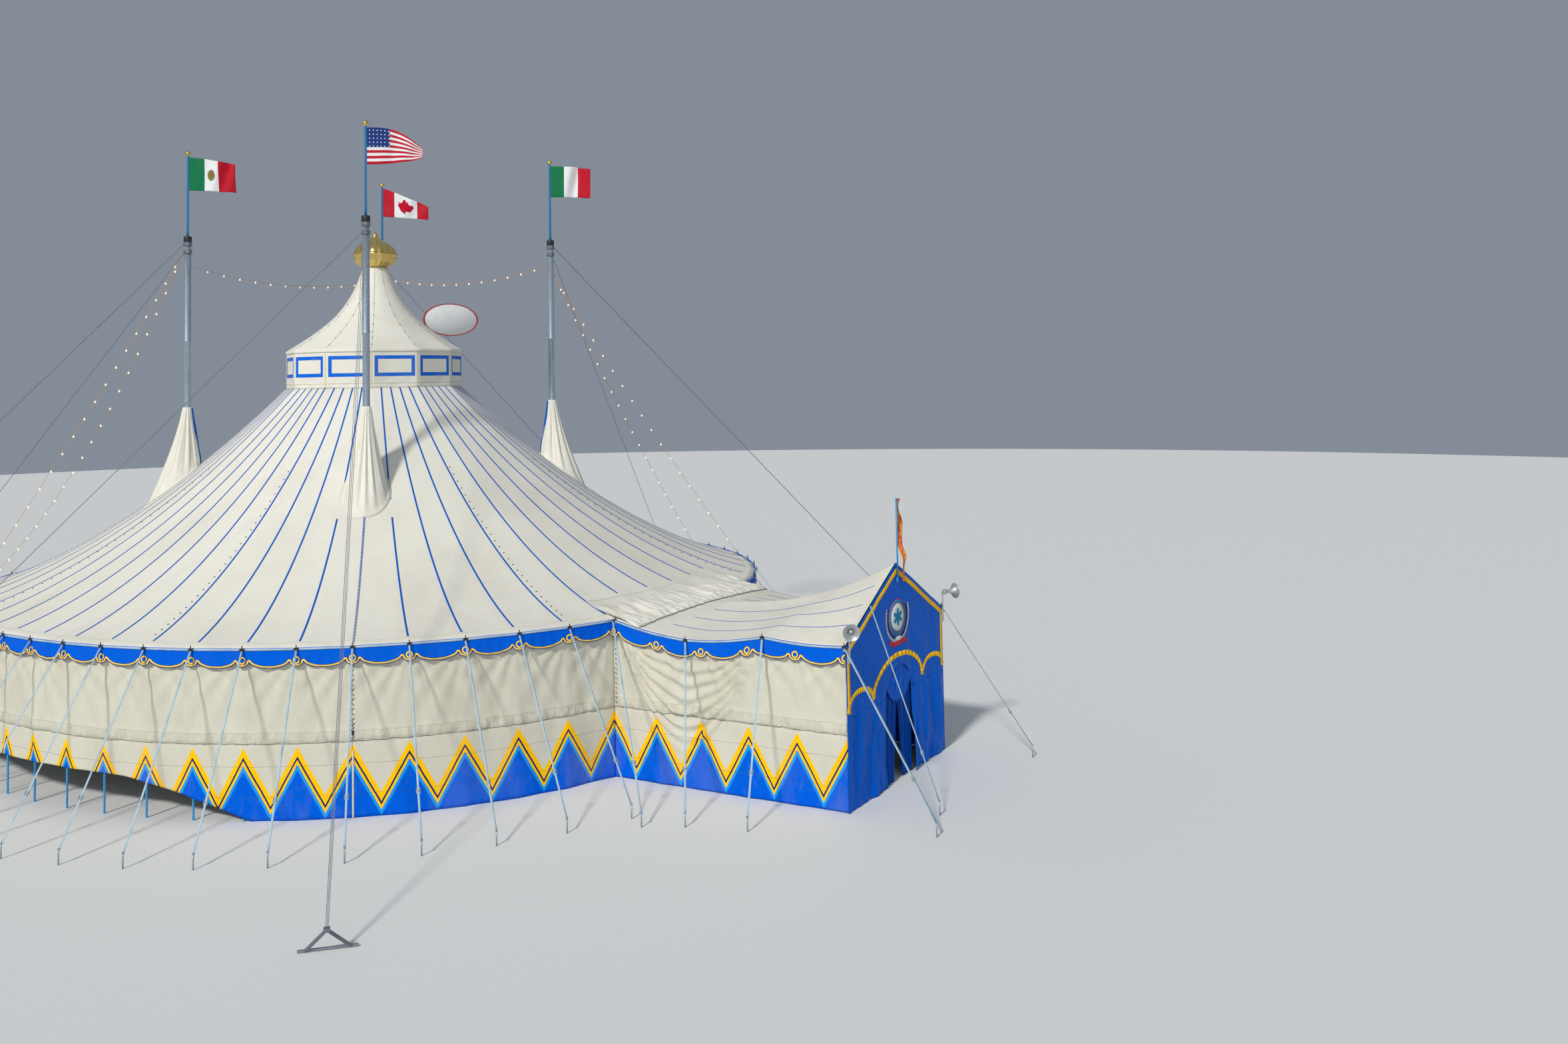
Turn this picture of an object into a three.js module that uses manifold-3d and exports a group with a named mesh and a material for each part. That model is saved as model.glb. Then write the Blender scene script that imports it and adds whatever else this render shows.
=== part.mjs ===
// Four-mast circus big top with a gabled entrance annex, in millimetres, +Z up.
// Azimuth 0 points along -Y, to the entrance, and grows towards +X.
import * as THREE from "three";
import { mergeVertices } from "three/addons/utils/BufferGeometryUtils.js";
import Module from "manifold-3d";

const wasm = await Module();
wasm.setup();
const { Manifold } = wasm;

// Plan: sixty gores on a slightly oval eave, a twelve-sided drum, four masts.
const GORES = 60;
const GORE_ANGLE = (2 * Math.PI) / GORES;
const EAVE_MEAN_RADIUS = 13000;
const EAVE_OVALITY = 0.045;
const DRUM_SIDES = 12;
const DRUM_RADIUS = 2980;
const MAST_CIRCLE = 6180;
const MAST_AZIMUTHS = { front_right: 45, back_right: 135, back_left: -135, front_left: -45 };

// Heights.
const EAVE_Z = 4260;
const DRUM_BOTTOM = 10710;
const DRUM_TOP = 11960;
const MAST_TOP = 16000;
const BALL_Z = 18870;

// Material thicknesses and the clearance left between pieces that touch.
const SEAT = 0.3;
const CANVAS = 20;
const WALL_SKIN = 15;
const MAST_RADIUS = 110;
const POLE_RADIUS = 30;

// Offsets from the eave line, outwards positive.
const VALANCE_INNER = SEAT;
const VALANCE_OUTER = VALANCE_INNER + WALL_SKIN;
const BELT_INNER = VALANCE_OUTER + SEAT;
const BELT_OUTER = BELT_INNER + 30;
const WALL_OUTER = -55;
const WALL_INNER = WALL_OUTER - WALL_SKIN;
const POLE_LINE = WALL_INNER - POLE_RADIUS - 8;

// Entrance annex.
const ANNEX_HALF_GORES = 2.5;
const ANNEX_EDGE = ANNEX_HALF_GORES * GORE_ANGLE;
const FACADE_Y = -19900;
const FACADE_HALF = 3100;
const FACADE_EAVE = 4100;
const FACADE_PEAK = 5750;
const FACADE_THICK = 30;
const DOOR_HALF = 850;
const DOOR_SPRING = 2300;
const STAKE_REACH = 3000;
const STAKE_HEIGHT = 320;

const COLOURS = {
  canvas: 0xdedcd0,
  blue: 0x0a4fc4,
  facadeBlue: 0x0b3f96,
  steel: 0x8296a5,
  brass: 0xc39a3c,
  strap: 0x9cc4d8,
  flag: 0xc8283c,
  streamer: 0xe0641e,
  horn: 0xb9bec2,
  sign: 0xeceeee,
};

const tent = new THREE.Group();
tent.name = "circus_big_top";

// Closed surface to manifold solid and back.
function solid(geometry) {
  const bare = geometry.clone();
  bare.deleteAttribute("normal");
  bare.deleteAttribute("uv");
  const welded = mergeVertices(bare, 1e-3);
  return new Manifold(
    new wasm.Mesh({
      numProp: 3,
      vertProperties: new Float32Array(welded.attributes.position.array),
      triVerts: new Uint32Array(welded.index.array),
    }),
  );
}

// Corners that a cut left closer than this are drawn together, and the slivers between them go.
const WELD = 0.05;

function surface(body) {
  const mesh = body.getMesh();
  const places = new THREE.BufferAttribute(mesh.vertProperties, 3);
  const corners = [];
  const nearest = [];
  for (let i = 0; i < places.count; i += 1) {
    const place = new THREE.Vector3().fromBufferAttribute(places, i);
    const known = corners.findIndex((corner) => corner.distanceTo(place) < WELD);
    nearest.push(known < 0 ? corners.push(place) - 1 : known);
  }
  const faces = [];
  for (let i = 0; i < mesh.triVerts.length; i += 3) {
    const face = [0, 1, 2].map((k) => nearest[mesh.triVerts[i + k]]);
    if (new Set(face).size === 3) {
      faces.push(face);
    }
  }
  const faceted = indexed(corners, faces).toNonIndexed();
  faceted.computeVertexNormals();
  return faceted;
}

function add(name, body, color, roughness = 0.85, metalness = 0) {
  const geometry = body.isBufferGeometry ? body : surface(body);
  const material = new THREE.MeshStandardMaterial({ color, roughness, metalness });
  const mesh = new THREE.Mesh(geometry, material);
  mesh.name = name;
  tent.add(mesh);
}

function indexed(points, faces) {
  const geometry = new THREE.BufferGeometry();
  const positions = points.flatMap((p) => [p.x, p.y, p.z]);
  geometry.setAttribute("position", new THREE.Float32BufferAttribute(positions, 3));
  geometry.setIndex(faces.flat());
  return geometry;
}

// Sections of equal length joined in order; closed joins the last to the first.
function loft(sections, closed) {
  const count = sections[0].length;
  const faces = [];
  const spans = closed ? sections.length : sections.length - 1;
  for (let i = 0; i < spans; i += 1) {
    const next = (i + 1) % sections.length;
    for (let j = 0; j < count; j += 1) {
      const k = (j + 1) % count;
      const a = i * count + j;
      const b = i * count + k;
      const c = next * count + k;
      const d = next * count + j;
      faces.push([a, d, b], [b, d, c]);
    }
  }
  if (!closed) {
    const last = (sections.length - 1) * count;
    for (let j = 1; j < count - 1; j += 1) {
      faces.push([0, j, j + 1]);
      faces.push([last, last + j + 1, last + j]);
    }
  }
  const body = solid(indexed(sections.flat(), faces));
  return body.volume() > 0 ? body : solid(indexed(sections.flat(), faces.map((f) => f.toReversed())));
}

// A thick sheet between two grids, grid(i, j) giving the near and far points.
function sheet(grid, across, along) {
  const sections = [];
  for (let i = 0; i <= along; i += 1) {
    const near = [];
    const far = [];
    for (let j = 0; j <= across; j += 1) {
      const [front, back] = grid(j / across, i / along);
      near.push(front);
      far.unshift(back);
    }
    sections.push([...near, ...far]);
  }
  const count = sections[0].length;
  const faces = [];
  for (let i = 0; i < along; i += 1) {
    for (let j = 0; j < count; j += 1) {
      const k = (j + 1) % count;
      const a = i * count + j;
      const b = i * count + k;
      const c = (i + 1) * count + k;
      const d = (i + 1) * count + j;
      faces.push([a, d, b], [b, d, c]);
    }
  }
  for (const [base, flip] of [[0, false], [along * count, true]]) {
    for (let j = 0; j < across; j += 1) {
      const a = base + j;
      const b = base + j + 1;
      const c = base + count - 2 - j;
      const d = base + count - 1 - j;
      faces.push(flip ? [a, c, b] : [a, b, c], flip ? [a, d, c] : [a, c, d]);
    }
  }
  const body = solid(indexed(sections.flat(), faces));
  return body.volume() > 0 ? body : solid(indexed(sections.flat(), faces.map((f) => f.toReversed())));
}

function point(azimuth, radius, z) {
  return new THREE.Vector3(radius * Math.sin(azimuth), -radius * Math.cos(azimuth), z);
}

function radians(degrees) {
  return (degrees * Math.PI) / 180;
}

function eaveRadius(azimuth) {
  return EAVE_MEAN_RADIUS * (1 + EAVE_OVALITY * Math.cos(2 * azimuth));
}

// Radius of the drum's flat sides, with a corner on every mast line.
function drumRadius(azimuth) {
  const side = (2 * Math.PI) / DRUM_SIDES;
  const corner = azimuth - Math.PI / 4;
  const offset = corner - Math.floor(corner / side) * side - side / 2;
  return (DRUM_RADIUS * Math.cos(side / 2)) / Math.cos(offset);
}

// Point on the faceted plan at gore position u, radius(azimuth) given at the gore lines.
function facet(u, radius, z) {
  const low = Math.floor(u + 1e-9);
  const share = u - low;
  const start = point(low * GORE_ANGLE - ANNEX_EDGE, radius(low * GORE_ANGLE - ANNEX_EDGE), z);
  const end = point((low + 1) * GORE_ANGLE - ANNEX_EDGE, radius((low + 1) * GORE_ANGLE - ANNEX_EDGE), z);
  return start.lerp(end, Math.max(0, share));
}

// Closed ring whose section at gore position u is a list of [radius function, z].
function ring(section, stepsPerGore = 1) {
  const sections = [];
  for (let i = 0; i < GORES * stepsPerGore; i += 1) {
    const u = i / stepsPerGore;
    sections.push(section(u).map(([radius, z]) => facet(u, radius, z)));
  }
  return loft(sections, true);
}

function box(width, depth, height, x, y, z) {
  return solid(new THREE.BoxGeometry(width, depth, height).translate(x, y, z));
}

// Upright cylinder standing at z, with a corner of its section towards +X.
function cylinder(height, radius, sides, x = 0, y = 0, z = 0) {
  const geometry = new THREE.CylinderGeometry(radius, radius, height, sides, 1, false, Math.PI / 2);
  return solid(geometry.rotateX(Math.PI / 2).translate(x, y, z + height / 2));
}

// Upright prism over a flat outline, with an optional hole.
function prism(outline, low, high, hole) {
  const shape = new THREE.Shape(outline);
  if (hole) {
    shape.holes.push(new THREE.Path(hole));
  }
  const geometry = new THREE.ExtrudeGeometry(shape, { depth: high - low, bevelEnabled: false });
  return solid(geometry.translate(0, 0, low));
}

function rod(start, end, radius, sides = 6) {
  const axis = end.clone().sub(start);
  const length = axis.length();
  const turn = new THREE.Quaternion().setFromUnitVectors(new THREE.Vector3(0, 0, 1), axis.normalize());
  const matrix = new THREE.Matrix4().compose(start, turn, new THREE.Vector3(1, 1, 1));
  const geometry = new THREE.CylinderGeometry(radius, radius, length, sides, 1, false, Math.PI / 2);
  return solid(geometry.rotateX(Math.PI / 2).translate(0, 0, length / 2).applyMatrix4(matrix));
}

// Flat webbing from start to end, its width level.
function webbing(start, end, width, thickness) {
  const along = end.clone().sub(start);
  const length = along.length();
  along.normalize();
  const level = new THREE.Vector3(0, 0, 1).cross(along).normalize();
  const normal = along.clone().cross(level);
  const matrix = new THREE.Matrix4().makeBasis(along, level, normal);
  matrix.setPosition(start.clone().add(end).multiplyScalar(0.5));
  return solid(new THREE.BoxGeometry(length, width, thickness).applyMatrix4(matrix));
}

// Upright wedge of the plan between two azimuths, held back by half the seat on both cuts.
function wedge(from, to, low = -100, high = 21000) {
  const middle = (from + to) / 2;
  const back = SEAT / 2 / Math.sin((to - from) / 2);
  const apex = point(middle, back, 0);
  const outline = [new THREE.Vector2(apex.x, apex.y)];
  const steps = 8;
  for (let i = 0; i <= steps; i += 1) {
    const azimuth = from + ((to - from) * i) / steps;
    const far = point(azimuth, 40000, 0);
    outline.push(new THREE.Vector2(apex.x + far.x, apex.y + far.y));
  }
  return prism(outline, low, high);
}

function sector(body, from, to) {
  return body.intersect(wedge(radians(from), radians(to)));
}

// Outline of the eave with the annex, and upright bands that follow it at an offset.
const plan = [];
for (let i = 0; i <= GORES - 2 * ANNEX_HALF_GORES; i += 1) {
  const azimuth = ANNEX_EDGE + i * GORE_ANGLE;
  const corner = point(azimuth, eaveRadius(azimuth), 0);
  plan.push(new THREE.Vector2(corner.x, corner.y));
}
plan.push(new THREE.Vector2(-FACADE_HALF, FACADE_Y), new THREE.Vector2(FACADE_HALF, FACADE_Y));

function outwardNormal(start, end) {
  return new THREE.Vector2(end.y - start.y, start.x - end.x).normalize();
}

// The plan with every side moved out by the offset and its corners kept sharp.
function planAt(offset) {
  return plan.map((corner, i) => {
    const arriving = outwardNormal(plan.at(i - 1), corner);
    const leaving = outwardNormal(corner, plan[(i + 1) % plan.length]);
    const mitre = arriving.clone().add(leaving).divideScalar(1 + arriving.dot(leaving));
    return corner.clone().addScaledVector(mitre, offset);
  });
}

const BAND_LOW = -1000;
const BAND_HIGH = 7000;

function band(outer, inner) {
  return prism(planAt(outer), BAND_LOW, BAND_HIGH, planAt(inner));
}

// Where the annex leaves the big top: eave corner, and its place at an offset from both lines.
const cornerPost = point(ANNEX_EDGE, eaveRadius(ANNEX_EDGE), 0);
const annexEnd = new THREE.Vector3(FACADE_HALF, FACADE_Y, 0);
const annexRun = annexEnd.clone().sub(cornerPost);
const annexOut = new THREE.Vector3(-annexRun.y, annexRun.x, 0).normalize();
const nextPost = point(ANNEX_EDGE + GORE_ANGLE, eaveRadius(ANNEX_EDGE + GORE_ANGLE), 0);
const eaveRun = cornerPost.clone().sub(nextPost);
const eaveOut = new THREE.Vector3(-eaveRun.y, eaveRun.x, 0).normalize();
const cornerMitre = eaveOut.clone().add(annexOut).divideScalar(1 + eaveOut.dot(annexOut));

function cornerPoint(offset, z, side) {
  const place = cornerPost.clone().addScaledVector(cornerMitre, offset);
  return new THREE.Vector3(side * place.x, place.y, z);
}

// Roof: flat collar under the drum, then a hollow-curved slope to the eave.
const COLLAR_IN = 90;
const COLLAR_OUT = 10;
const SLOPE_SHARES = [0.07, 0.16, 0.27, 0.4, 0.55, 0.71, 0.87, 1];

function roofHeight(share) {
  const fall = 0.3 * share + 0.7 * (1 - (1 - share) ** 1.8);
  return DRUM_BOTTOM - (DRUM_BOTTOM - EAVE_Z - CANVAS) * fall;
}

function roofRows(drop) {
  const rows = [
    [(a) => drumRadius(a) - COLLAR_IN, DRUM_BOTTOM - drop],
    [(a) => drumRadius(a) + COLLAR_OUT, DRUM_BOTTOM - drop],
  ];
  for (const share of SLOPE_SHARES) {
    const radius = (a) => {
      const inner = drumRadius(a) + COLLAR_OUT;
      return inner + (eaveRadius(a) - inner) * share;
    };
    rows.push([radius, roofHeight(share) - drop]);
  }
  return rows;
}

function roofBlock(topDrop, floor) {
  const rows = roofRows(topDrop);
  const first = rows[0];
  const last = rows[rows.length - 1];
  return ring(() => [[first[0], floor], ...rows, [last[0], floor]]);
}

const masts = Object.entries(MAST_AZIMUTHS).map(([corner, degrees]) => {
  const azimuth = radians(degrees);
  return { corner, azimuth, foot: point(azimuth, MAST_CIRCLE, 0) };
});

const roofRing = ring(() => [...roofRows(0), ...roofRows(CANVAS).reverse()]);
const mastHoles = Manifold.union(
  masts.map(({ foot }) => cylinder(MAST_TOP, MAST_RADIUS + 30, 12, foot.x, foot.y)),
);
const roofCut = roofRing.subtract(mastHoles);
add("roof_front", sector(roofCut, -45, 45), COLOURS.canvas);
add("roof_right", sector(roofCut, 45, 135), COLOURS.canvas);
add("roof_back", sector(roofCut, 135, 225), COLOURS.canvas);
add("roof_left", sector(roofCut, -135, -45), COLOURS.canvas);
const belowRoof = roofBlock(CANVAS + SEAT, -10);
const roofSolid = roofBlock(-SEAT, 3000);

// Cupola: twelve-sided drum, flared cone and onion finial.
function drumRing(rows) {
  const sections = [];
  for (let i = 0; i < DRUM_SIDES * 2; i += 1) {
    const azimuth = Math.PI / 4 + (i * Math.PI) / DRUM_SIDES;
    const sections_i = rows.map(([radius, z, facetShare]) => {
      const flat = i % 2 === 0 ? 1 : Math.cos(Math.PI / DRUM_SIDES);
      return point(azimuth, radius * (facetShare * flat + 1 - facetShare), z);
    });
    sections.push(sections_i);
  }
  return loft(sections, true);
}

const drumBase = DRUM_BOTTOM + SEAT;
add(
  "cupola_drum",
  drumRing([
    [DRUM_RADIUS, drumBase, 1],
    [DRUM_RADIUS, DRUM_TOP, 1],
    [DRUM_RADIUS - CANVAS, DRUM_TOP, 1],
    [DRUM_RADIUS - CANVAS, drumBase, 1],
  ]),
  COLOURS.canvas,
);

const CONE_PROFILE = [
  [2995, 30, 1],
  [2430, 400, 0.8],
  [1900, 780, 0.5],
  [1330, 1280, 0.2],
  [900, 1860, 0],
  [630, 2390, 0],
  [420, 2990, 0],
];
const coneBase = DRUM_TOP + SEAT;
const coneOutside = CONE_PROFILE.map(([radius, rise, flat]) => [radius, coneBase + rise, flat]);
const coneInside = coneOutside
  .map(([radius, z, flat], i) => {
    const before = coneOutside[Math.max(0, i - 1)];
    const after = coneOutside[Math.min(coneOutside.length - 1, i + 1)];
    const run = Math.hypot(after[0] - before[0], after[1] - before[1]);
    const shiftR = (CANVAS * (after[1] - before[1])) / run;
    const shiftZ = (CANVAS * (before[0] - after[0])) / run;
    return i === coneOutside.length - 1
      ? [radius - CANVAS, z, flat]
      : [radius - shiftR - (i === 0 ? 60 : 0), Math.max(coneBase, z - shiftZ), flat];
  })
  .reverse();
add(
  "cupola_cone",
  drumRing([[2995, coneBase, 1], ...coneOutside, ...coneInside, [2900, coneBase, 1]]),
  COLOURS.canvas,
);

const finialBase = coneBase + 2990 + SEAT;
const finialProfile = [
  [0, 0],
  [440, 0],
  [440, 60],
  [600, 130],
  [700, 280],
  [730, 440],
  [700, 560],
  [640, 640],
  [540, 720],
  [360, 850],
  [180, 1000],
  [70, 1180],
  [0, 1300],
].map(([x, z]) => new THREE.Vector2(x, z + finialBase));
add("cupola_finial", solid(new THREE.LatheGeometry(finialProfile, 20).rotateX(Math.PI / 2)), COLOURS.brass, 0.3, 1);

// Masts: galvanised tubes with a black collar, flagpole and brass ball.
const mastProfile = [
  [0, MAST_TOP - 60],
  [MAST_RADIUS - 10, MAST_TOP - 60],
  [MAST_RADIUS - 10, 0],
  [MAST_RADIUS, 0],
  [MAST_RADIUS, MAST_TOP - 180],
  [130, MAST_TOP - 180],
  [130, MAST_TOP],
  [42, MAST_TOP],
  [42, BALL_Z - 80],
  [96, BALL_Z - 10],
  [75, BALL_Z + 60],
  [0, BALL_Z + 96],
].map(([x, z]) => new THREE.Vector2(x, z));
for (const { corner, foot } of masts) {
  const lathe = new THREE.LatheGeometry(mastProfile, 12).rotateX(Math.PI / 2);
  add(`mast_${corner}`, solid(lathe.translate(foot.x, foot.y, 0)), COLOURS.steel, 0.5, 0.8);
}

// Flags fly towards one side, in a slight wave.
const WIND = radians(31);
const flagAlong = new THREE.Vector3(Math.sin(WIND), -Math.cos(WIND), 0);
const flagSide = new THREE.Vector3(Math.cos(WIND), Math.sin(WIND), 0);
const FLAG_LENGTH = 1850;
const FLAG_DROP = 1150;
const FLAG_THICK = 10;
for (const { corner, foot } of masts) {
  const flag = sheet(
    (across, along) => {
      const sway = 90 * along * Math.sin(along * 7 + across * 0.8);
      const z = BALL_Z - 130 - across * FLAG_DROP - 190 * along * along;
      const middle = foot
        .clone()
        .setZ(z)
        .addScaledVector(flagAlong, 42 + SEAT + along * FLAG_LENGTH)
        .addScaledVector(flagSide, sway);
      const half = flagSide.clone().multiplyScalar(FLAG_THICK / 2);
      return [middle.clone().add(half), middle.clone().sub(half)];
    },
    3,
    8,
  );
  add(`flag_${corner}`, flag, COLOURS.flag);
}

// Canvas boots that close the roof round each mast.
const BOOT_TOP = 10150;
for (const { corner, azimuth, foot } of masts) {
  const out = point(azimuth, 1, 0);
  const side = new THREE.Vector3(-out.y, out.x, 0);
  const levels = [0, 0.45, 0.8, 1.05, 1.3];
  const sections = [];
  for (let i = 0; i < 16; i += 1) {
    const angle = (i * Math.PI) / 8;
    const loop = (inset) =>
      levels.map((level) => {
        const spread = 0.5 * level + 0.5 * level ** 2;
        const neck = MAST_RADIUS + SEAT + 22;
        const radial = (neck + (900 - neck) * spread - inset) * Math.cos(angle) + 200 * spread;
        const tangential = (neck + (800 - neck) * spread - inset) * Math.sin(angle);
        const z = BOOT_TOP - 3000 * level;
        return foot.clone().setZ(z).addScaledVector(out, radial).addScaledVector(side, tangential);
      });
    sections.push([...loop(0), ...loop(CANVAS).reverse()]);
  }
  const bore = cylinder(MAST_TOP, MAST_RADIUS + SEAT, 16, foot.x, foot.y);
  const boot = loft(sections, true).subtract(roofSolid).subtract(bore);
  add(`mast_boot_${corner}`, boot, COLOURS.canvas);
}

// Stays: three wires from a clamp under each mast top to a ground frame on the mast's line.
const STAY_ANCHOR_RADIUS = 20750;
const WIRE_RADIUS = 9;
const WIRE_SPREAD = 50;
const CLAMP_MIDDLE = MAST_RADIUS + 15;

function clampRing(foot, z) {
  const outer = cylinder(120, MAST_RADIUS + 30, 12, foot.x, foot.y, z);
  return outer.subtract(cylinder(140, MAST_RADIUS + SEAT, 12, foot.x, foot.y, z - 10));
}

const ANCHOR_Z = 500;
const ANCHOR_HEAD = 120;
const ANCHOR_HEAD_HEIGHT = 76;

function groundFrame(azimuth, radius) {
  const inward = point(azimuth, radius - 300, 0);
  const top = point(azimuth, radius, ANCHOR_Z);
  const head = new THREE.BoxGeometry(ANCHOR_HEAD, ANCHOR_HEAD, ANCHOR_HEAD_HEIGHT).rotateZ(azimuth);
  const side = point(azimuth + Math.PI / 2, 1, 0);
  const legs = [-1, 1].map((turn) => {
    const foot = inward.clone().addScaledVector(side, turn * 420).setZ(25);
    return rod(foot, top, 35);
  });
  const sill = rod(
    inward.clone().addScaledVector(side, -560).setZ(30),
    inward.clone().addScaledVector(side, 560).setZ(30),
    30,
  );
  return Manifold.union([...legs, sill, solid(head.translate(top.x, top.y, top.z))]);
}

for (const { corner, azimuth, foot } of masts) {
  const side = point(azimuth + Math.PI / 2, 1, 0);
  const anchor = point(azimuth, STAY_ANCHOR_RADIUS, ANCHOR_Z);
  const wires = [-1, 0, 1].map((turn) => {
    const aside = turn * WIRE_SPREAD;
    const reach = Math.sqrt(CLAMP_MIDDLE ** 2 - aside ** 2);
    const start = point(azimuth, MAST_CIRCLE + reach, MAST_TOP - 260).addScaledVector(side, aside);
    return rod(start, anchor.clone().addScaledVector(side, turn * 24), WIRE_RADIUS, 4);
  });
  const parts = [clampRing(foot, MAST_TOP - 320), ...wires, groundFrame(azimuth, STAY_ANCHOR_RADIUS)];
  add(`mast_stay_${corner}`, Manifold.union(parts), COLOURS.steel, 0.5, 0.8);
}

const SIDE_ANCHOR_RADIUS = 19000;
for (const [side, corners] of [["left", ["front_left", "back_left"]], ["right", ["front_right", "back_right"]]]) {
  const azimuth = side === "left" ? -Math.PI / 2 : Math.PI / 2;
  const anchor = point(azimuth, SIDE_ANCHOR_RADIUS, ANCHOR_Z);
  const parts = [groundFrame(azimuth, SIDE_ANCHOR_RADIUS)];
  for (const { corner, foot } of masts) {
    if (corners.includes(corner)) {
      const start = foot.clone().setZ(MAST_TOP - 520);
      const outward = anchor.clone().setZ(start.z).sub(start).normalize();
      parts.push(clampRing(foot, MAST_TOP - 580));
      parts.push(rod(start.addScaledVector(outward, CLAMP_MIDDLE), anchor, WIRE_RADIUS, 4));
    }
  }
  add(`side_stay_${side}`, Manifold.union(parts), COLOURS.steel, 0.5, 0.8);
}

// Side wall, lifted off the ground along part of the left side.
function wallFoot(degrees) {
  const inside = Math.min(degrees + 124, -56 - degrees);
  const share = Math.min(1, Math.max(0, inside / 20));
  return 1040 * Math.sin((Math.PI / 2) * share);
}

function plus(offset) {
  return (azimuth) => eaveRadius(azimuth) + offset;
}

const wallRing = ring((u) => {
  let degrees = u * 6 - 15;
  degrees = degrees > 180 ? degrees - 360 : degrees;
  const low = wallFoot(degrees);
  return [
    [plus(WALL_INNER), low],
    [plus(WALL_INNER), EAVE_Z + 200],
    [plus(WALL_OUTER), EAVE_Z + 200],
    [plus(WALL_OUTER), low],
  ];
}).intersect(belowRoof);
add("side_wall_front_right", sector(wallRing, 15, 45), COLOURS.canvas);
add("side_wall_right", sector(wallRing, 45, 135), COLOURS.canvas);
add("side_wall_back", sector(wallRing, 135, 225), COLOURS.canvas);
add("side_wall_left", sector(wallRing, -135, -45), COLOURS.canvas);
add("side_wall_front_left", sector(wallRing, -45, -15), COLOURS.canvas);

// Annex line: from the big top's corner to the facade, on the +X side.
const ANNEX_BAYS = 3;
const ANNEX_ROWS = 12;
const ANNEX_EAVES = [EAVE_Z, 3900, 4160, FACADE_EAVE];

function annexEave(share) {
  const bay = Math.min(ANNEX_BAYS - 1, Math.floor(share * ANNEX_BAYS));
  const local = share * ANNEX_BAYS - bay;
  const slack = -60 * Math.sin(Math.PI * local);
  return ANNEX_EAVES[bay] * (1 - local) + ANNEX_EAVES[bay + 1] * local + slack;
}

function annexPoint(share, offset, z, side) {
  const place = cornerPost.clone().addScaledVector(annexRun, share).addScaledVector(annexOut, offset);
  return new THREE.Vector3(side * place.x, place.y, z);
}

// Broad sheet along the annex line, later trimmed to a band of the plan.
const SPREAD = 220;
const ANNEX_START = -0.03;
const ANNEX_STOP = 1 - SEAT / 6800;

function annexSheet(side, low, high, steps, inside = SPREAD) {
  return sheet(
    (across, along) => {
      const share = along === 0 ? ANNEX_START : ((along * (steps + 1) - 1) / steps) * ANNEX_STOP;
      const z = across === 0 ? low(Math.max(0, share)) : high(Math.max(0, share));
      return [annexPoint(share, SPREAD, z, side), annexPoint(share, -inside, z, side)];
    },
    1,
    steps + 1,
  );
}

// Scalloped lower edge of the valance: a wide dip per gore and a small one at each pole.
const VALANCE_CUSP = 320;
const SMALL_SCALLOP = 80;
const WIDE_SCALLOP = 200;
const SMALL_HALF = 0.14;
function scallop(u) {
  const local = u - Math.floor(u);
  const fromPole = Math.min(local, 1 - local);
  const small = SMALL_SCALLOP * Math.cos((fromPole / SMALL_HALF) * (Math.PI / 2));
  const wide = WIDE_SCALLOP * Math.sin(((fromPole - SMALL_HALF) / (1 - 2 * SMALL_HALF)) * Math.PI);
  return fromPole < SMALL_HALF ? Math.max(0, small) : wide;
}

const VALANCE_STEPS = 5;
const valanceRing = ring(
  (u) => {
    const low = EAVE_Z - VALANCE_CUSP - scallop(u);
    return [
      [plus(-SPREAD), low],
      [plus(-SPREAD), EAVE_Z + CANVAS],
      [plus(SPREAD), EAVE_Z + CANVAS],
      [plus(SPREAD), low],
    ];
  },
  VALANCE_STEPS,
);
const ANNEX_GORES = 5;
const valanceBand = band(VALANCE_OUTER, VALANCE_INNER);
for (const [name, side] of [["left", -1], ["right", 1]]) {
  const round = side < 0 ? sector(valanceRing, -180, -15) : sector(valanceRing, 15, 180);
  const straight = annexSheet(
    side,
    (share) => annexEave(share) - VALANCE_CUSP - scallop(share * ANNEX_GORES),
    (share) => annexEave(share) + CANVAS,
    ANNEX_GORES * VALANCE_STEPS,
  );
  add(`valance_${name}`, round.add(straight).intersect(valanceBand), COLOURS.blue);
}

const wallBand = band(WALL_OUTER, WALL_INNER);
for (const [name, side] of [["left", -1], ["right", 1]]) {
  const walling = annexSheet(side, () => 0, (share) => annexEave(share) - 2, ANNEX_ROWS, 80);
  const passage = side < 0 ? wedge(radians(-15), radians(-1)) : wedge(radians(1), radians(15));
  const wall = walling.intersect(wallBand).intersect(passage);
  add(`annex_wall_${name}`, wall, COLOURS.canvas);
}

// Annex roof: flat where it is laced to the big top, ridged at the facade.
const ANNEX_COLUMNS = 10;
function annexRoofTop(across, along) {
  const v = across * 2 - 1;
  const inner = facet(across * ANNEX_GORES, plus(0), 0);
  const outer = new THREE.Vector3(v * FACADE_HALF, FACADE_Y, 0);
  const place = inner.lerp(outer, along);
  const edge = annexEave(along) + CANVAS;
  const ridge = 4300 + (FACADE_PEAK - 4300) * along ** 2.6;
  const rise = Math.max(0, ridge - annexEave(along)) * (1 - Math.abs(v)) ** (1 + 0.25 * (1 - along));
  return place.setZ(edge + rise * Math.min(1, along * 6));
}

const annexRoof = sheet(
  (across, along) => {
    const top = annexRoofTop(across, along);
    top.y += along === 0 ? -SEAT * 1.2 : along === 1 ? SEAT : 0;
    return [top, top.clone().setZ(top.z - CANVAS)];
  },
  ANNEX_COLUMNS,
  ANNEX_ROWS,
);
add("annex_roof", annexRoof, COLOURS.canvas);

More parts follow.
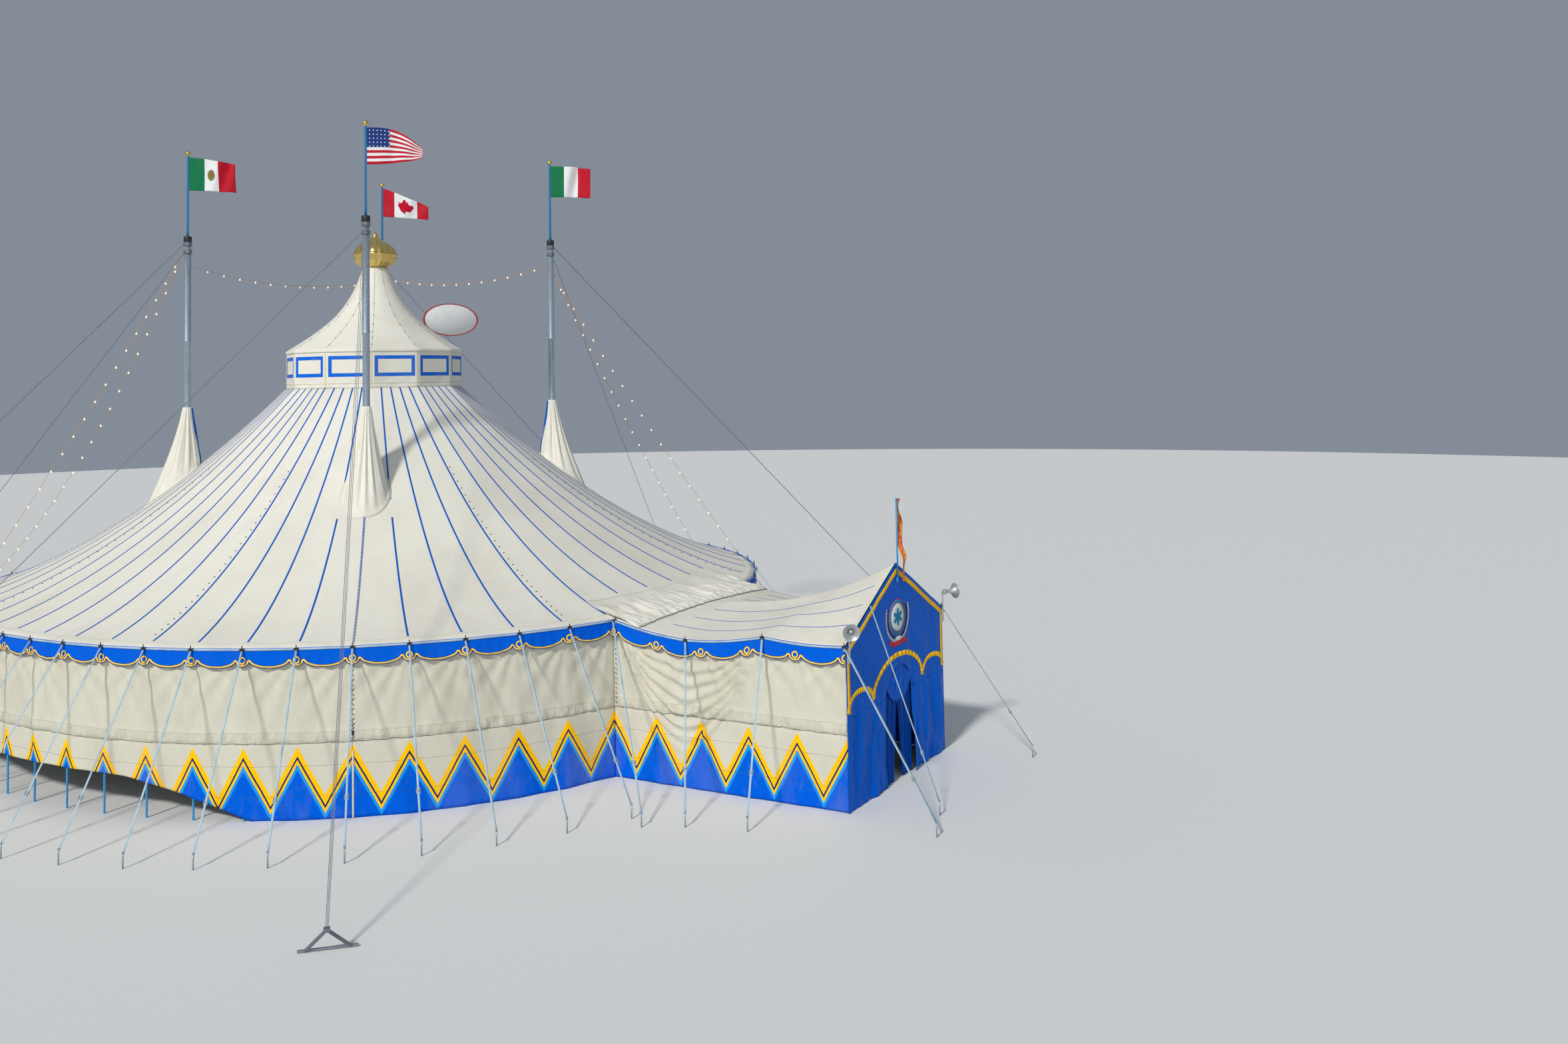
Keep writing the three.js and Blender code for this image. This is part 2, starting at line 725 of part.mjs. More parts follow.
// Facade with an arched doorway: two lower panels and the gable over them.
function upright(outline, front, back) {
  const shape = new THREE.Shape(outline.map(([x, z]) => new THREE.Vector2(x, z)));
  const geometry = new THREE.ExtrudeGeometry(shape, { depth: back - front, bevelEnabled: false });
  return solid(geometry.rotateX(Math.PI / 2).translate(0, back, 0));
}

function archPoints(half, spring, rise, steps) {
  const points = [];
  for (let i = 0; i <= steps; i += 1) {
    const angle = (i * Math.PI) / steps;
    points.push([half * Math.cos(angle), spring + rise * Math.sin(angle)]);
  }
  return points;
}

const gable = upright(
  [
    [FACADE_HALF, DOOR_SPRING + SEAT],
    [FACADE_HALF, FACADE_EAVE],
    [0, FACADE_PEAK],
    [-FACADE_HALF, FACADE_EAVE],
    [-FACADE_HALF, DOOR_SPRING + SEAT],
  ],
  FACADE_Y - FACADE_THICK,
  FACADE_Y,
);
const DOOR_RISE = 750;
const doorArch = upright(
  [...archPoints(DOOR_HALF, DOOR_SPRING, DOOR_RISE, 14), [-DOOR_HALF, 1000], [DOOR_HALF, 1000]],
  FACADE_Y - 200,
  FACADE_Y + 200,
);
add("facade_gable", gable.subtract(doorArch), COLOURS.facadeBlue);
for (const [name, side] of [["left", -1], ["right", 1]]) {
  const width = FACADE_HALF - DOOR_HALF;
  const middle = side * (DOOR_HALF + width / 2);
  const panel = box(width, FACADE_THICK, DOOR_SPRING, middle, FACADE_Y - FACADE_THICK / 2, DOOR_SPRING / 2);
  add(`facade_panel_${name}`, panel, COLOURS.facadeBlue);
}

const RAIL_Z = 3150;
const RAIL_RADIUS = 25;

// Door curtains hang inside the arch and part below the middle.
for (const [name, side] of [["left", -1], ["right", 1]]) {
  const curtain = sheet(
    (across, along) => {
      const z = 20 + (RAIL_Z - RAIL_RADIUS - SEAT - 20) * (1 - along);
      const gap = 20 + 215 * Math.max(0, (along - 0.34) / 0.66) ** 0.6;
      const x = side * (gap + (DOOR_HALF + 90 - gap) * across);
      const y = FACADE_Y + 45 + 26 * Math.sin(across * 21);
      return [new THREE.Vector3(x, y - 7, z), new THREE.Vector3(x, y + 7, z)];
    },
    12,
    5,
  );
  add(`door_curtain_${name}`, curtain, COLOURS.facadeBlue);
}

// Inner frame of the facade: posts, rakes and curtain rail.
const frameY = FACADE_Y + 40 + SEAT;
const postX = FACADE_HALF - 190;
const frameParts = [
  rod(new THREE.Vector3(-postX, frameY, 0), new THREE.Vector3(-postX, frameY, FACADE_EAVE - 120), 40, 8),
  rod(new THREE.Vector3(postX, frameY, 0), new THREE.Vector3(postX, frameY, FACADE_EAVE - 120), 40, 8),
  rod(new THREE.Vector3(-postX, frameY, FACADE_EAVE - 160), new THREE.Vector3(0, frameY, FACADE_PEAK - 220), 35, 8),
  rod(new THREE.Vector3(postX, frameY, FACADE_EAVE - 160), new THREE.Vector3(0, frameY, FACADE_PEAK - 220), 35, 8),
  rod(new THREE.Vector3(-postX, frameY, RAIL_Z), new THREE.Vector3(postX, frameY, RAIL_Z), RAIL_RADIUS, 8),
];
add("facade_frame", Manifold.union(frameParts), COLOURS.steel, 0.5, 0.8);

// Horn loudspeakers on brackets at the facade's eave corners.
for (const [name, side] of [["left", -1], ["right", 1]]) {
  const profile = [
    [0, 0],
    [70, 0],
    [70, 120],
    [40, 130],
    [55, 240],
    [110, 340],
    [215, 420],
    [215, 432],
    [100, 352],
    [30, 240],
    [0, 235],
  ].map(([x, z]) => new THREE.Vector2(x, z));
  const corner = new THREE.Vector3(side * (FACADE_HALF - 60), FACADE_Y - FACADE_THICK - 60, FACADE_EAVE + 300);
  const horn = new THREE.LatheGeometry(profile, 14).rotateX(Math.PI).rotateZ(side * radians(30));
  const body = solid(horn.translate(corner.x, corner.y - 20, corner.z + 120));
  const stem = rod(corner.clone().setZ(FACADE_EAVE - 420), corner.clone().setZ(corner.z + 150), 22, 8);
  const plate = box(80, 60 - SEAT, 160, corner.x, corner.y + 30, FACADE_EAVE - 330);
  add(`horn_${name}`, Manifold.union([body, stem, plate]), COLOURS.horn, 0.4, 0.6);
}

// Streamer on a short pole at the gable's peak.
const streamerPole = rod(
  new THREE.Vector3(0, FACADE_Y - FACADE_THICK - 35 - SEAT, FACADE_PEAK - 520),
  new THREE.Vector3(0, FACADE_Y - FACADE_THICK - 35 - SEAT, FACADE_PEAK + 1750),
  22,
  8,
);
const streamer = sheet(
  (across, along) => {
    const z = FACADE_PEAK + 1720 - along * 1750;
    const sway = 70 * Math.sin(along * 9);
    const x = 10 + across * (330 - 120 * along) + sway * across;
    const y = FACADE_Y - FACADE_THICK - 35 - SEAT + 50 * Math.sin(across * 3 + along * 6) * across;
    return [new THREE.Vector3(x, y - 6, z), new THREE.Vector3(x, y + 6, z)];
  },
  4,
  10,
);
const streamerFoot = box(60, 34, 120, 0, FACADE_Y - FACADE_THICK - 17 - SEAT, FACADE_PEAK - 450);
add("gable_streamer", Manifold.union([streamerPole, streamer, streamerFoot]), COLOURS.streamer);

// Side poles with the rope that joins their heads, one half of the tent per node.
function eavePole(foot) {
  return cylinder(EAVE_Z + 300, POLE_RADIUS, 6, foot.x, foot.y);
}

const ropeRing = ring(() => [
  [plus(POLE_LINE - 16), EAVE_Z - 130],
  [plus(POLE_LINE - 16), EAVE_Z - 98],
  [plus(POLE_LINE + 16), EAVE_Z - 98],
  [plus(POLE_LINE + 16), EAVE_Z - 130],
]);
const POLES_PER_HALF = 28;
for (const [name, side] of [["left", -1], ["right", 1]]) {
  const poles = [];
  poles.push(eavePole(cornerPoint(POLE_LINE, 0, side)));
  for (let i = 1; i < POLES_PER_HALF; i += 1) {
    const azimuth = side * (ANNEX_EDGE + i * GORE_ANGLE);
    poles.push(eavePole(point(azimuth, eaveRadius(azimuth) + POLE_LINE, 0)));
  }
  const rope = side < 0 ? sector(ropeRing, -178, -21) : sector(ropeRing, 21, 178);
  const joint = rod(
    cornerPoint(POLE_LINE, EAVE_Z - 114, side),
    point(side * (ANNEX_EDGE + GORE_ANGLE), eaveRadius(ANNEX_EDGE + GORE_ANGLE) + POLE_LINE, EAVE_Z - 114),
    14,
  );
  const frame = Manifold.union([rope, joint, ...poles]).intersect(belowRoof);
  const annexPoles = [1, 2].map((bay) => {
    const share = bay / ANNEX_BAYS;
    const foot = annexPoint(share, POLE_LINE, 0, side);
    return cylinder(annexEave(share) - 40, POLE_RADIUS, 6, foot.x, foot.y);
  });
  const heads = [1, 2].map((bay) =>
    annexPoint(bay / ANNEX_BAYS, POLE_LINE, annexEave(bay / ANNEX_BAYS) - 114, side),
  );
  heads.unshift(cornerPoint(POLE_LINE, EAVE_Z - 114, side));
  const annexRope = [rod(heads[0], heads[1], 9), rod(heads[1], heads[2], 9)];
  add(`side_poles_${name}`, Manifold.union([frame, ...annexPoles, ...annexRope]), COLOURS.steel, 0.5, 0.8);
}

// Guy straps: a belt round the eave, a strap from every pole head, and its stake.
const beltRing = ring(() => [
  [plus(-SPREAD), EAVE_Z - 45],
  [plus(-SPREAD), EAVE_Z + 5],
  [plus(SPREAD), EAVE_Z + 5],
  [plus(SPREAD), EAVE_Z - 45],
]);

const STAKE_WIDTH = 40;
const STRAP_WIDTH = 50;
const STRAP_THICK = 12;

function guy(head, foot) {
  const heading = Math.atan2(foot.y - head.y, foot.x - head.x);
  const height = STAKE_HEIGHT + 40;
  const stake = new THREE.BoxGeometry(STAKE_WIDTH, STAKE_WIDTH, height).rotateZ(heading);
  const strap = webbing(head, foot.clone().setZ(STAKE_HEIGHT), STRAP_WIDTH, STRAP_THICK);
  return [strap, solid(stake.translate(foot.x, foot.y, height / 2))];
}

const beltMid = (BELT_INNER + BELT_OUTER) / 2;
const beltBand = band(BELT_OUTER, BELT_INNER);
const insideBelt = prism(planAt(BELT_INNER), BAND_LOW, BAND_HIGH);
const CORNER_STAKE = new THREE.Vector3(6250, -15900, 0);
for (const [name, side] of [["left", -1], ["right", 1]]) {
  const round = side < 0 ? sector(beltRing, -178, -15) : sector(beltRing, 15, 178);
  const straight = annexSheet(side, (share) => annexEave(share) - 45, (share) => annexEave(share) + 5, ANNEX_ROWS);
  const belt = round.add(straight).intersect(beltBand);
  const straps = [];
  straps.push(...guy(cornerPoint(beltMid, EAVE_Z - 20, side), CORNER_STAKE.clone().setX(side * CORNER_STAKE.x)));
  for (let i = 1; i < POLES_PER_HALF; i += 1) {
    const azimuth = side * (ANNEX_EDGE + i * GORE_ANGLE);
    const head = point(azimuth, eaveRadius(azimuth) + beltMid, EAVE_Z - 20);
    straps.push(...guy(head, point(azimuth, eaveRadius(azimuth) + STAKE_REACH, 0)));
  }
  const knots = [1, 2, 3].map((bay) => {
    const share = bay / ANNEX_BAYS;
    return annexPoint(share, beltMid, annexEave(share) - 20, side);
  });
  straps.push(...guy(knots[0], new THREE.Vector3(side * 5750, knots[0].y - 1500, 0)));
  straps.push(...guy(knots[1], new THREE.Vector3(side * 5300, knots[1].y - 700, 0)));
  straps.push(...guy(knots[2], new THREE.Vector3(side * 3500, FACADE_Y - 2500, 0)));
  const trimmed = Manifold.union(straps).subtract(insideBelt);
  add(`guy_straps_${name}`, belt.add(trimmed), COLOURS.strap);
}

// Oval sign board hung on the right side stay.
const signTop = masts.find(({ corner }) => corner === "back_right").foot.clone().setZ(MAST_TOP - 520);
const signAnchor = point(Math.PI / 2, SIDE_ANCHOR_RADIUS, ANCHOR_Z);
const SIGN_LIFT = new THREE.Vector3(0, 0, 1000);
const signPlace = signTop.clone().lerp(signAnchor, 0.2).add(SIGN_LIFT);
const BOARD_THICK = 25;
const signFace = signAnchor.clone().sub(signTop).cross(new THREE.Vector3(0, 0, 1)).normalize();
const signAcross = new THREE.Vector3(-signFace.y, signFace.x, 0);
const signMatrix = new THREE.Matrix4().makeBasis(signAcross, new THREE.Vector3(0, 0, 1), signFace);
signMatrix.setPosition(signPlace.clone().addScaledVector(signFace, WIRE_RADIUS + BOARD_THICK / 2 + SEAT));
const oval = new THREE.CylinderGeometry(1, 1, BOARD_THICK, 32).rotateX(Math.PI / 2).scale(1350, 720, 1);
add("sign_board", solid(oval.applyMatrix4(signMatrix)), COLOURS.sign);

// The row's origin lies on the ground under the middle of the whole footprint.
const footprint = new THREE.Box3().setFromObject(tent);
tent.position.y = -(footprint.min.y + footprint.max.y) / 2;

export default tent;
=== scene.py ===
# %% [markdown]
# A circus big top: a canvas roof of sixty gores on a slightly oval eave, a twelve-sided cupola
# with a brass finial, four steel masts and a gabled entrance annex. The frame gives the real
# sizes and places; this lesson dresses it with cloth, seams, fittings and finishes.

# %% Load the frame
import math

import bmesh
import bpy
from mathutils import Matrix, Vector, noise


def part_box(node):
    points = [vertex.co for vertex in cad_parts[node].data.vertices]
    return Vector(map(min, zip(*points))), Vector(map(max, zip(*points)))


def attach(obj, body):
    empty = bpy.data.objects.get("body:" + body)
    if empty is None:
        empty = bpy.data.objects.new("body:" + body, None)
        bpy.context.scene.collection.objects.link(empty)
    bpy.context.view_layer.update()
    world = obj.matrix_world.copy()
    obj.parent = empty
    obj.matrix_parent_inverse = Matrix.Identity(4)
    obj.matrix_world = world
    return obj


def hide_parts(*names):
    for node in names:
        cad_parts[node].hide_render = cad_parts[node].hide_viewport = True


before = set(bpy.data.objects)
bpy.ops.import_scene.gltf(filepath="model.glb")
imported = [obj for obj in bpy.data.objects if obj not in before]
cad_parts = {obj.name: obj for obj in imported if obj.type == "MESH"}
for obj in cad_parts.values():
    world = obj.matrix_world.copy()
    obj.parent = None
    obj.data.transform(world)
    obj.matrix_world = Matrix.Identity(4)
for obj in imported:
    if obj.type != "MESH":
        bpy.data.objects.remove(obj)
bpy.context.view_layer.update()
BODY = "root"
print("frame nodes:", len(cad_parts))

# %% [markdown]
# The tent's plan is polar, so everything starts from its vertical axis, which runs through the
# middle of the cupola drum. Azimuth 0 points to the entrance, along -Y, and grows towards +X.

# %% The plan
drum_low, drum_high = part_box("cupola_drum")
AXIS_Y = (drum_low.y + drum_high.y) / 2
DRUM_BOTTOM = drum_low.z
DRUM_TOP = drum_high.z
GORES = 60
GORE = math.tau / GORES
ANNEX_EDGE = 2.5 * GORE
EAVE_RADIUS = 13.0
EAVE_OVALITY = 0.045
EAVE_Z = 4.26
DRUM_SIDES = 12
DRUM_RADIUS = 2.98
DRUM_CORNER = math.pi / 4
MAST_CIRCLE = 6.18
GORE_WIDTH = 1.36
SIDES = ((-1, "left"), (1, "right"))
MAST_AZIMUTHS = {"front_right": 45, "back_right": 135, "back_left": -135, "front_left": -45}


def polar(azimuth, radius, z=0.0):
    return Vector((radius * math.sin(azimuth), AXIS_Y - radius * math.cos(azimuth), z))


def outward_at(azimuth):
    """Level unit vector away from the tent's axis."""
    return polar(azimuth, 1) - polar(azimuth, 0)


def eave_radius(azimuth):
    return EAVE_RADIUS * (1 + EAVE_OVALITY * math.cos(2 * azimuth))


def drum_radius(azimuth):
    side = math.tau / DRUM_SIDES
    offset = (azimuth - DRUM_CORNER) % side - side / 2
    return DRUM_RADIUS * math.cos(side / 2) / math.cos(offset)


def facet(u, radius_at, z=0.0):
    """Point at gore position u on straight chords between the gore lines."""
    low = math.floor(u + 1e-9)
    start = low * GORE - ANNEX_EDGE
    end = start + GORE
    return polar(start, radius_at(start), z).lerp(polar(end, radius_at(end), z), max(0.0, u - low))


def to_gore(azimuth_degrees):
    return (math.radians(azimuth_degrees % 360) + ANNEX_EDGE) / GORE


def smooth(low, high, value):
    share = min(1.0, max(0.0, (value - low) / (high - low)))
    return share * share * (3 - 2 * share)


def wander(x, y, z):
    """Smooth noise from about -1 to 1, which folds and creases are shaped from."""
    return noise.noise(Vector((x, y, z)))


print("axis at y", round(AXIS_Y, 3), "eave radius", eave_radius(0))

# %% [markdown]
# The camera stands high in front of the tent's left corner, as from a lift. The photograph's
# frame is cropped, so the lens axis lies off its middle and the camera is shifted to match.

# %% Camera
CAMERA_PLACE = Vector((-31.182, AXIS_Y - 34.081, 10.745))
CAMERA_HEADING = 0.54155
CAMERA_TILT = 0.0457
CAMERA_AIM = Vector((math.cos(CAMERA_HEADING), math.sin(CAMERA_HEADING), math.tan(CAMERA_TILT)))
CAMERA_ROLL = -0.01708
FOCAL_PIXELS = 1878.6
FRAME_WIDTH = 2355
FRAME_HEIGHT = 1568
AXIS_PIXEL = (1120.2, 485.1)



def new_object(name, data):
    made = bpy.data.objects.new(name, data)
    bpy.context.collection.objects.link(made)
    return made


camera = bpy.data.cameras.new("camera")
camera.sensor_width = 36
camera.lens = FOCAL_PIXELS / FRAME_WIDTH * camera.sensor_width
camera.shift_x = (FRAME_WIDTH / 2 - AXIS_PIXEL[0]) / FRAME_WIDTH
camera.shift_y = (AXIS_PIXEL[1] - FRAME_HEIGHT / 2) / FRAME_WIDTH
camera.clip_end = 400
camera_object = new_object("camera", camera)
turn = CAMERA_AIM.to_track_quat("-Z", "Y").to_matrix() @ Matrix.Rotation(CAMERA_ROLL, 3, "Z")
camera_object.matrix_world = Matrix.Translation(CAMERA_PLACE) @ turn.to_4x4()
bpy.context.scene.camera = camera_object
print("lens", round(camera.lens, 2), "mm")

# %% [markdown]
# The studio is a pale floor, a soft key from the camera's left, a faint fill and a pale surround.
# The key comes down at forty degrees, so it rakes across the cloth and seams and folds read.

# %% Floor and light
FLOOR_RADIUS = 150
bm = bmesh.new()
bmesh.ops.create_circle(bm, cap_ends=True, segments=96, radius=FLOOR_RADIUS)
floor_mesh = bpy.data.meshes.new("floor")
bm.to_mesh(floor_mesh)
bm.free()
floor = new_object("floor", floor_mesh)
floor_finish = bpy.data.materials.new("pale_floor")
floor_finish.use_nodes = True
floor_shader = floor_finish.node_tree.nodes["Principled BSDF"]
floor_shader.inputs["Base Color"].default_value = (0.72, 0.73, 0.72, 1)
floor_shader.inputs["Roughness"].default_value = 0.95
floor_mesh.materials.append(floor_finish)


def sun(name, towards, strength, spread, tint):
    light = bpy.data.lights.new(name, "SUN")
    light.energy = strength
    light.angle = math.radians(spread)
    light.color = tint
    lamp = new_object(name, light)
    lamp.rotation_euler = Vector(towards).to_track_quat("-Z", "Y").to_euler()


sun("key", (0.77, 0.06, -0.64), 2.5, 6, (1.0, 0.97, 0.925))
sun("fill", (0.75, 0.6, -0.3), 0.5, 30, (0.9, 0.95, 1.0))
world = bpy.data.worlds.new("studio")
world.use_nodes = True
surround = world.node_tree.nodes["Background"]
surround.inputs["Color"].default_value = (0.72, 0.82, 0.97, 1)
surround.inputs["Strength"].default_value = 0.32
bpy.context.scene.world = world
bpy.context.scene.view_settings.view_transform = "Standard"
print("key and fill suns, pale surround")

# %% [markdown]
# Finishes are node trees. These few helpers place a node, join values to it and mix colours, so
# that each finish below reads as a recipe. Colours are given as the eye sees them, 0 to 255.

# %% Node helpers


def paint(red, green, blue):
    def linear(value):
        share = value / 255
        return share / 12.92 if share <= 0.04045 else ((share + 0.055) / 1.055) ** 2.4

    return (linear(red), linear(green), linear(blue), 1.0)


def feed(tree, socket, value):
    if isinstance(value, bpy.types.NodeSocket):
        tree.links.new(value, socket)
    else:
        socket.default_value = value


def calc(tree, operation, *values, clamp=False):
    step = tree.nodes.new("ShaderNodeMath")
    step.operation = operation
    step.use_clamp = clamp
    for socket, value in zip(step.inputs, values):
        feed(tree, socket, value)
    return step.outputs[0]


def plus(tree, first, second):
    return calc(tree, "ADD", first, second)


def minus(tree, first, second):
    return calc(tree, "SUBTRACT", first, second)


def times(tree, first, second):
    return calc(tree, "MULTIPLY", first, second)


def over(tree, value, limit):
    return calc(tree, "GREATER_THAN", value, limit)


def under(tree, value, limit):
    return calc(tree, "LESS_THAN", value, limit)


def square_sum(tree, first, second):
    return plus(tree, times(tree, first, first), times(tree, second, second))


def mix(tree, factor, first, second):
    step = tree.nodes.new("ShaderNodeMix")
    step.data_type = "RGBA"
    feed(tree, step.inputs[0], factor)
    feed(tree, step.inputs[6], first)
    feed(tree, step.inputs[7], second)
    return step.outputs[2]


def stained(tree, colour, mask, strength, tint):
    return mix(tree, times(tree, mask, strength), colour, tint)


def spots(tree, place, scale, detail=3.0, rough=0.55):
    step = tree.nodes.new("ShaderNodeTexNoise")
    feed(tree, step.inputs["Vector"], place)
    feed(tree, step.inputs["Scale"], scale)
    feed(tree, step.inputs["Detail"], detail)
    feed(tree, step.inputs["Roughness"], rough)
    return step.outputs[0]


def between(tree, value, low, high):
    """1 where value lies between low and high, else 0."""
    return times(tree, over(tree, value, low), under(tree, value, high))


def ramp(tree, value, low, high):
    step = tree.nodes.new("ShaderNodeMapRange")
    feed(tree, step.inputs["Value"], value)
    step.inputs["From Min"].default_value = low
    step.inputs["From Max"].default_value = high
    return step.outputs[0]


def coordinates(tree, kind="Object"):
    return tree.nodes.new("ShaderNodeTexCoord").outputs[kind]


def stretched(tree, place, scale):
    step = tree.nodes.new("ShaderNodeMapping")
    feed(tree, step.inputs["Vector"], place)
    step.inputs["Scale"].default_value = scale
    return step.outputs[0]


print("node helpers ready")

# %% [markdown]
# Two effects serve many finishes, so each is a node group. Weathering lays broad soft soiling
# and fine streaks over any colour, and gives a mask that also roughens it. Weave is the height
# of a plain canvas weave with a slow, hand-stretched unevenness below it.

# %% Shared effects


def new_group(name, inputs, outputs):
    group = bpy.data.node_groups.new(name, "ShaderNodeTree")
    for label, kind, value in inputs:
        socket = group.interface.new_socket(name=label, in_out="INPUT", socket_type=kind)
        if value is not None:
            socket.default_value = value
    for label, kind in outputs:
        group.interface.new_socket(name=label, in_out="OUTPUT", socket_type=kind)
    entry = group.nodes.new("NodeGroupInput")
    leave = group.nodes.new("NodeGroupOutput")
    return group, entry, leave


weathering, entry, leave = new_group(
    "weathering",
    [
        ("Colour", "NodeSocketColor", None), ("Soil", "NodeSocketColor", paint(150, 138, 112)),
        ("Amount", "NodeSocketFloat", 0.35), ("Place", "NodeSocketVector", None),
        ("Scale", "NodeSocketFloat", 1.0),
    ],
    [("Colour", "NodeSocketColor"), ("Mask", "NodeSocketFloat")],
)
broad = spots(weathering, entry.outputs["Place"], entry.outputs["Scale"], 6.0, 0.62)
fine = spots(weathering, entry.outputs["Place"], times(weathering, entry.outputs["Scale"], 9.0), 4.0)
patch = ramp(weathering, broad, 0.46, 0.75)
speck = ramp(weathering, fine, 0.56, 0.82)
mask = calc(weathering, "ADD", patch, calc(weathering, "MULTIPLY", speck, 0.45), clamp=True)
soiled = times(weathering, mask, entry.outputs["Amount"])
aged = mix(weathering, soiled, entry.outputs["Colour"], entry.outputs["Soil"])
feed(weathering, leave.inputs["Colour"], aged)
feed(weathering, leave.inputs["Mask"], mask)

weave, entry, leave = new_group(
    "weave", [("Place", "NodeSocketVector", None), ("Threads", "NodeSocketFloat", 60.0)],
    [("Height", "NodeSocketFloat")],
)
threads = spots(weave, entry.outputs["Place"], entry.outputs["Threads"], 2.0)
slack = spots(weave, entry.outputs["Place"], 1.6, 4.0)
crease = spots(weave, entry.outputs["Place"], 6.0, 5.0, 0.7)
height = plus(weave, times(weave, threads, 0.06), times(weave, slack, 0.7))
feed(weave, leave.inputs["Height"], plus(weave, height, times(weave, crease, 0.3)))


def use(tree, group, **values):
    step = tree.nodes.new("ShaderNodeGroup")
    step.node_tree = group
    for label, value in values.items():
        feed(tree, step.inputs[label], value)
    return step


print("groups:", [group.name for group in bpy.data.node_groups])

# %% [markdown]
# A finish starts from this base: a Principled shader whose colour has been weathered and whose
# normal comes from a bump. Cloth takes its bump from the weave, metal and paint from noise.

# %% Base of every finish


def new_finish(name, roughness, metallic=0.0, gloss=None):
    material = bpy.data.materials.new(name)
    material.use_nodes = True
    tree = material.node_tree
    shader = tree.nodes["Principled BSDF"]
    shader.inputs["Roughness"].default_value = roughness
    shader.inputs["Metallic"].default_value = metallic
    if gloss is not None:
        shader.inputs["Specular IOR Level"].default_value = gloss
    return material, tree, shader


def bump(tree, shader, height, depth, strength=0.6):
    step = tree.nodes.new("ShaderNodeBump")
    step.inputs["Strength"].default_value = strength
    step.inputs["Distance"].default_value = depth
    feed(tree, step.inputs["Height"], height)
    feed(tree, shader.inputs["Normal"], step.outputs[0])


def weathered(tree, shader, colour, place, soil, amount, scale, rough=(0.7, 0.9)):
    aged = use(tree, weathering, Colour=colour, Soil=soil, Amount=amount, Place=place, Scale=scale)
    feed(tree, shader.inputs["Base Color"], aged.outputs["Colour"])
    worn = tree.nodes.new("ShaderNodeMapRange")
    feed(tree, worn.inputs["Value"], aged.outputs["Mask"])
    worn.inputs["To Min"].default_value = rough[0]
    worn.inputs["To Max"].default_value = rough[1]
    feed(tree, shader.inputs["Roughness"], worn.outputs[0])


def weave_height(tree, place, threads=70.0):
    return use(tree, weave, Place=place, Threads=threads).outputs["Height"]


def uv_parts(tree):
    parts = tree.nodes.new("ShaderNodeSeparateXYZ")
    feed(tree, parts.inputs[0], coordinates(tree, "UV"))
    return parts.outputs[0], parts.outputs[1]


CREAM = paint(226, 223, 210)
SOIL = paint(158, 148, 124)
ROYAL = paint(0, 92, 212)
FACADE = paint(0, 90, 198)
NAVY = paint(22, 40, 96)
GOLD = paint(255, 196, 12)
PALE_GOLD = paint(250, 208, 96)
WALL_CREAM = paint(206, 203, 186)
SKY = paint(24, 150, 232)
print("colours set")

# %% [markdown]
# Cream canvas is proofed cotton: matt, faintly yellow, with darker stitched seams. A UV map in
# metres runs across and up each panel, so seams and hems keep their real width on any slope.

# %% Cream canvas
HEM_STITCH = 0.008


def cream_canvas(name, hem_at=(), soil=0.3, scale=0.35, along=(1, 1, 1)):
    material, tree, shader = new_finish(name, 0.85)
    place = coordinates(tree)
    _, v = uv_parts(tree)
    colour = CREAM
    height = weave_height(tree, place)
    for level in hem_at:
        seam = between(tree, v, level - HEM_STITCH, level + HEM_STITCH)
        colour = stained(tree, colour, seam, 0.35, paint(150, 146, 132))
        height = plus(tree, height, times(tree, seam, 0.25))
    weathered(tree, shader, colour, stretched(tree, place, along), SOIL, soil, scale)
    bump(tree, shader, height, 0.03)
    return material


roof_finish = cream_canvas("cream_roof_canvas", hem_at=(0.12, 0.34), soil=0.22, scale=0.3)
cone_finish = cream_canvas("cream_cone_canvas", hem_at=(0.06,), soil=0.25, scale=0.6)
boot_finish = cream_canvas("cream_boot_canvas", soil=0.35, scale=1.2, along=(1, 1, 0.25))
annex_roof_finish = cream_canvas("cream_annex_canvas", hem_at=(0.06,), soil=0.25, scale=0.5)
print("canvas finishes:", roof_finish.name, cone_finish.name)

# %% [markdown]
# The side wall's lower third is painted with a zigzag: a thick gold stroke, a thin navy one, a
# thin gold one and a sky-blue one over royal blue. On the UV map one gore is one unit across and
# heights are metres, so each stroke is a band of distance below one folded line.

# %% Zigzag wall
ZIGZAG_TOP = 1.81
ZIGZAG_LOW = 0.59
WALL_SEAM = 1.885
HEM_SEAMS = (0.59, 1.33)
GATHER_DEPTH = 0.27


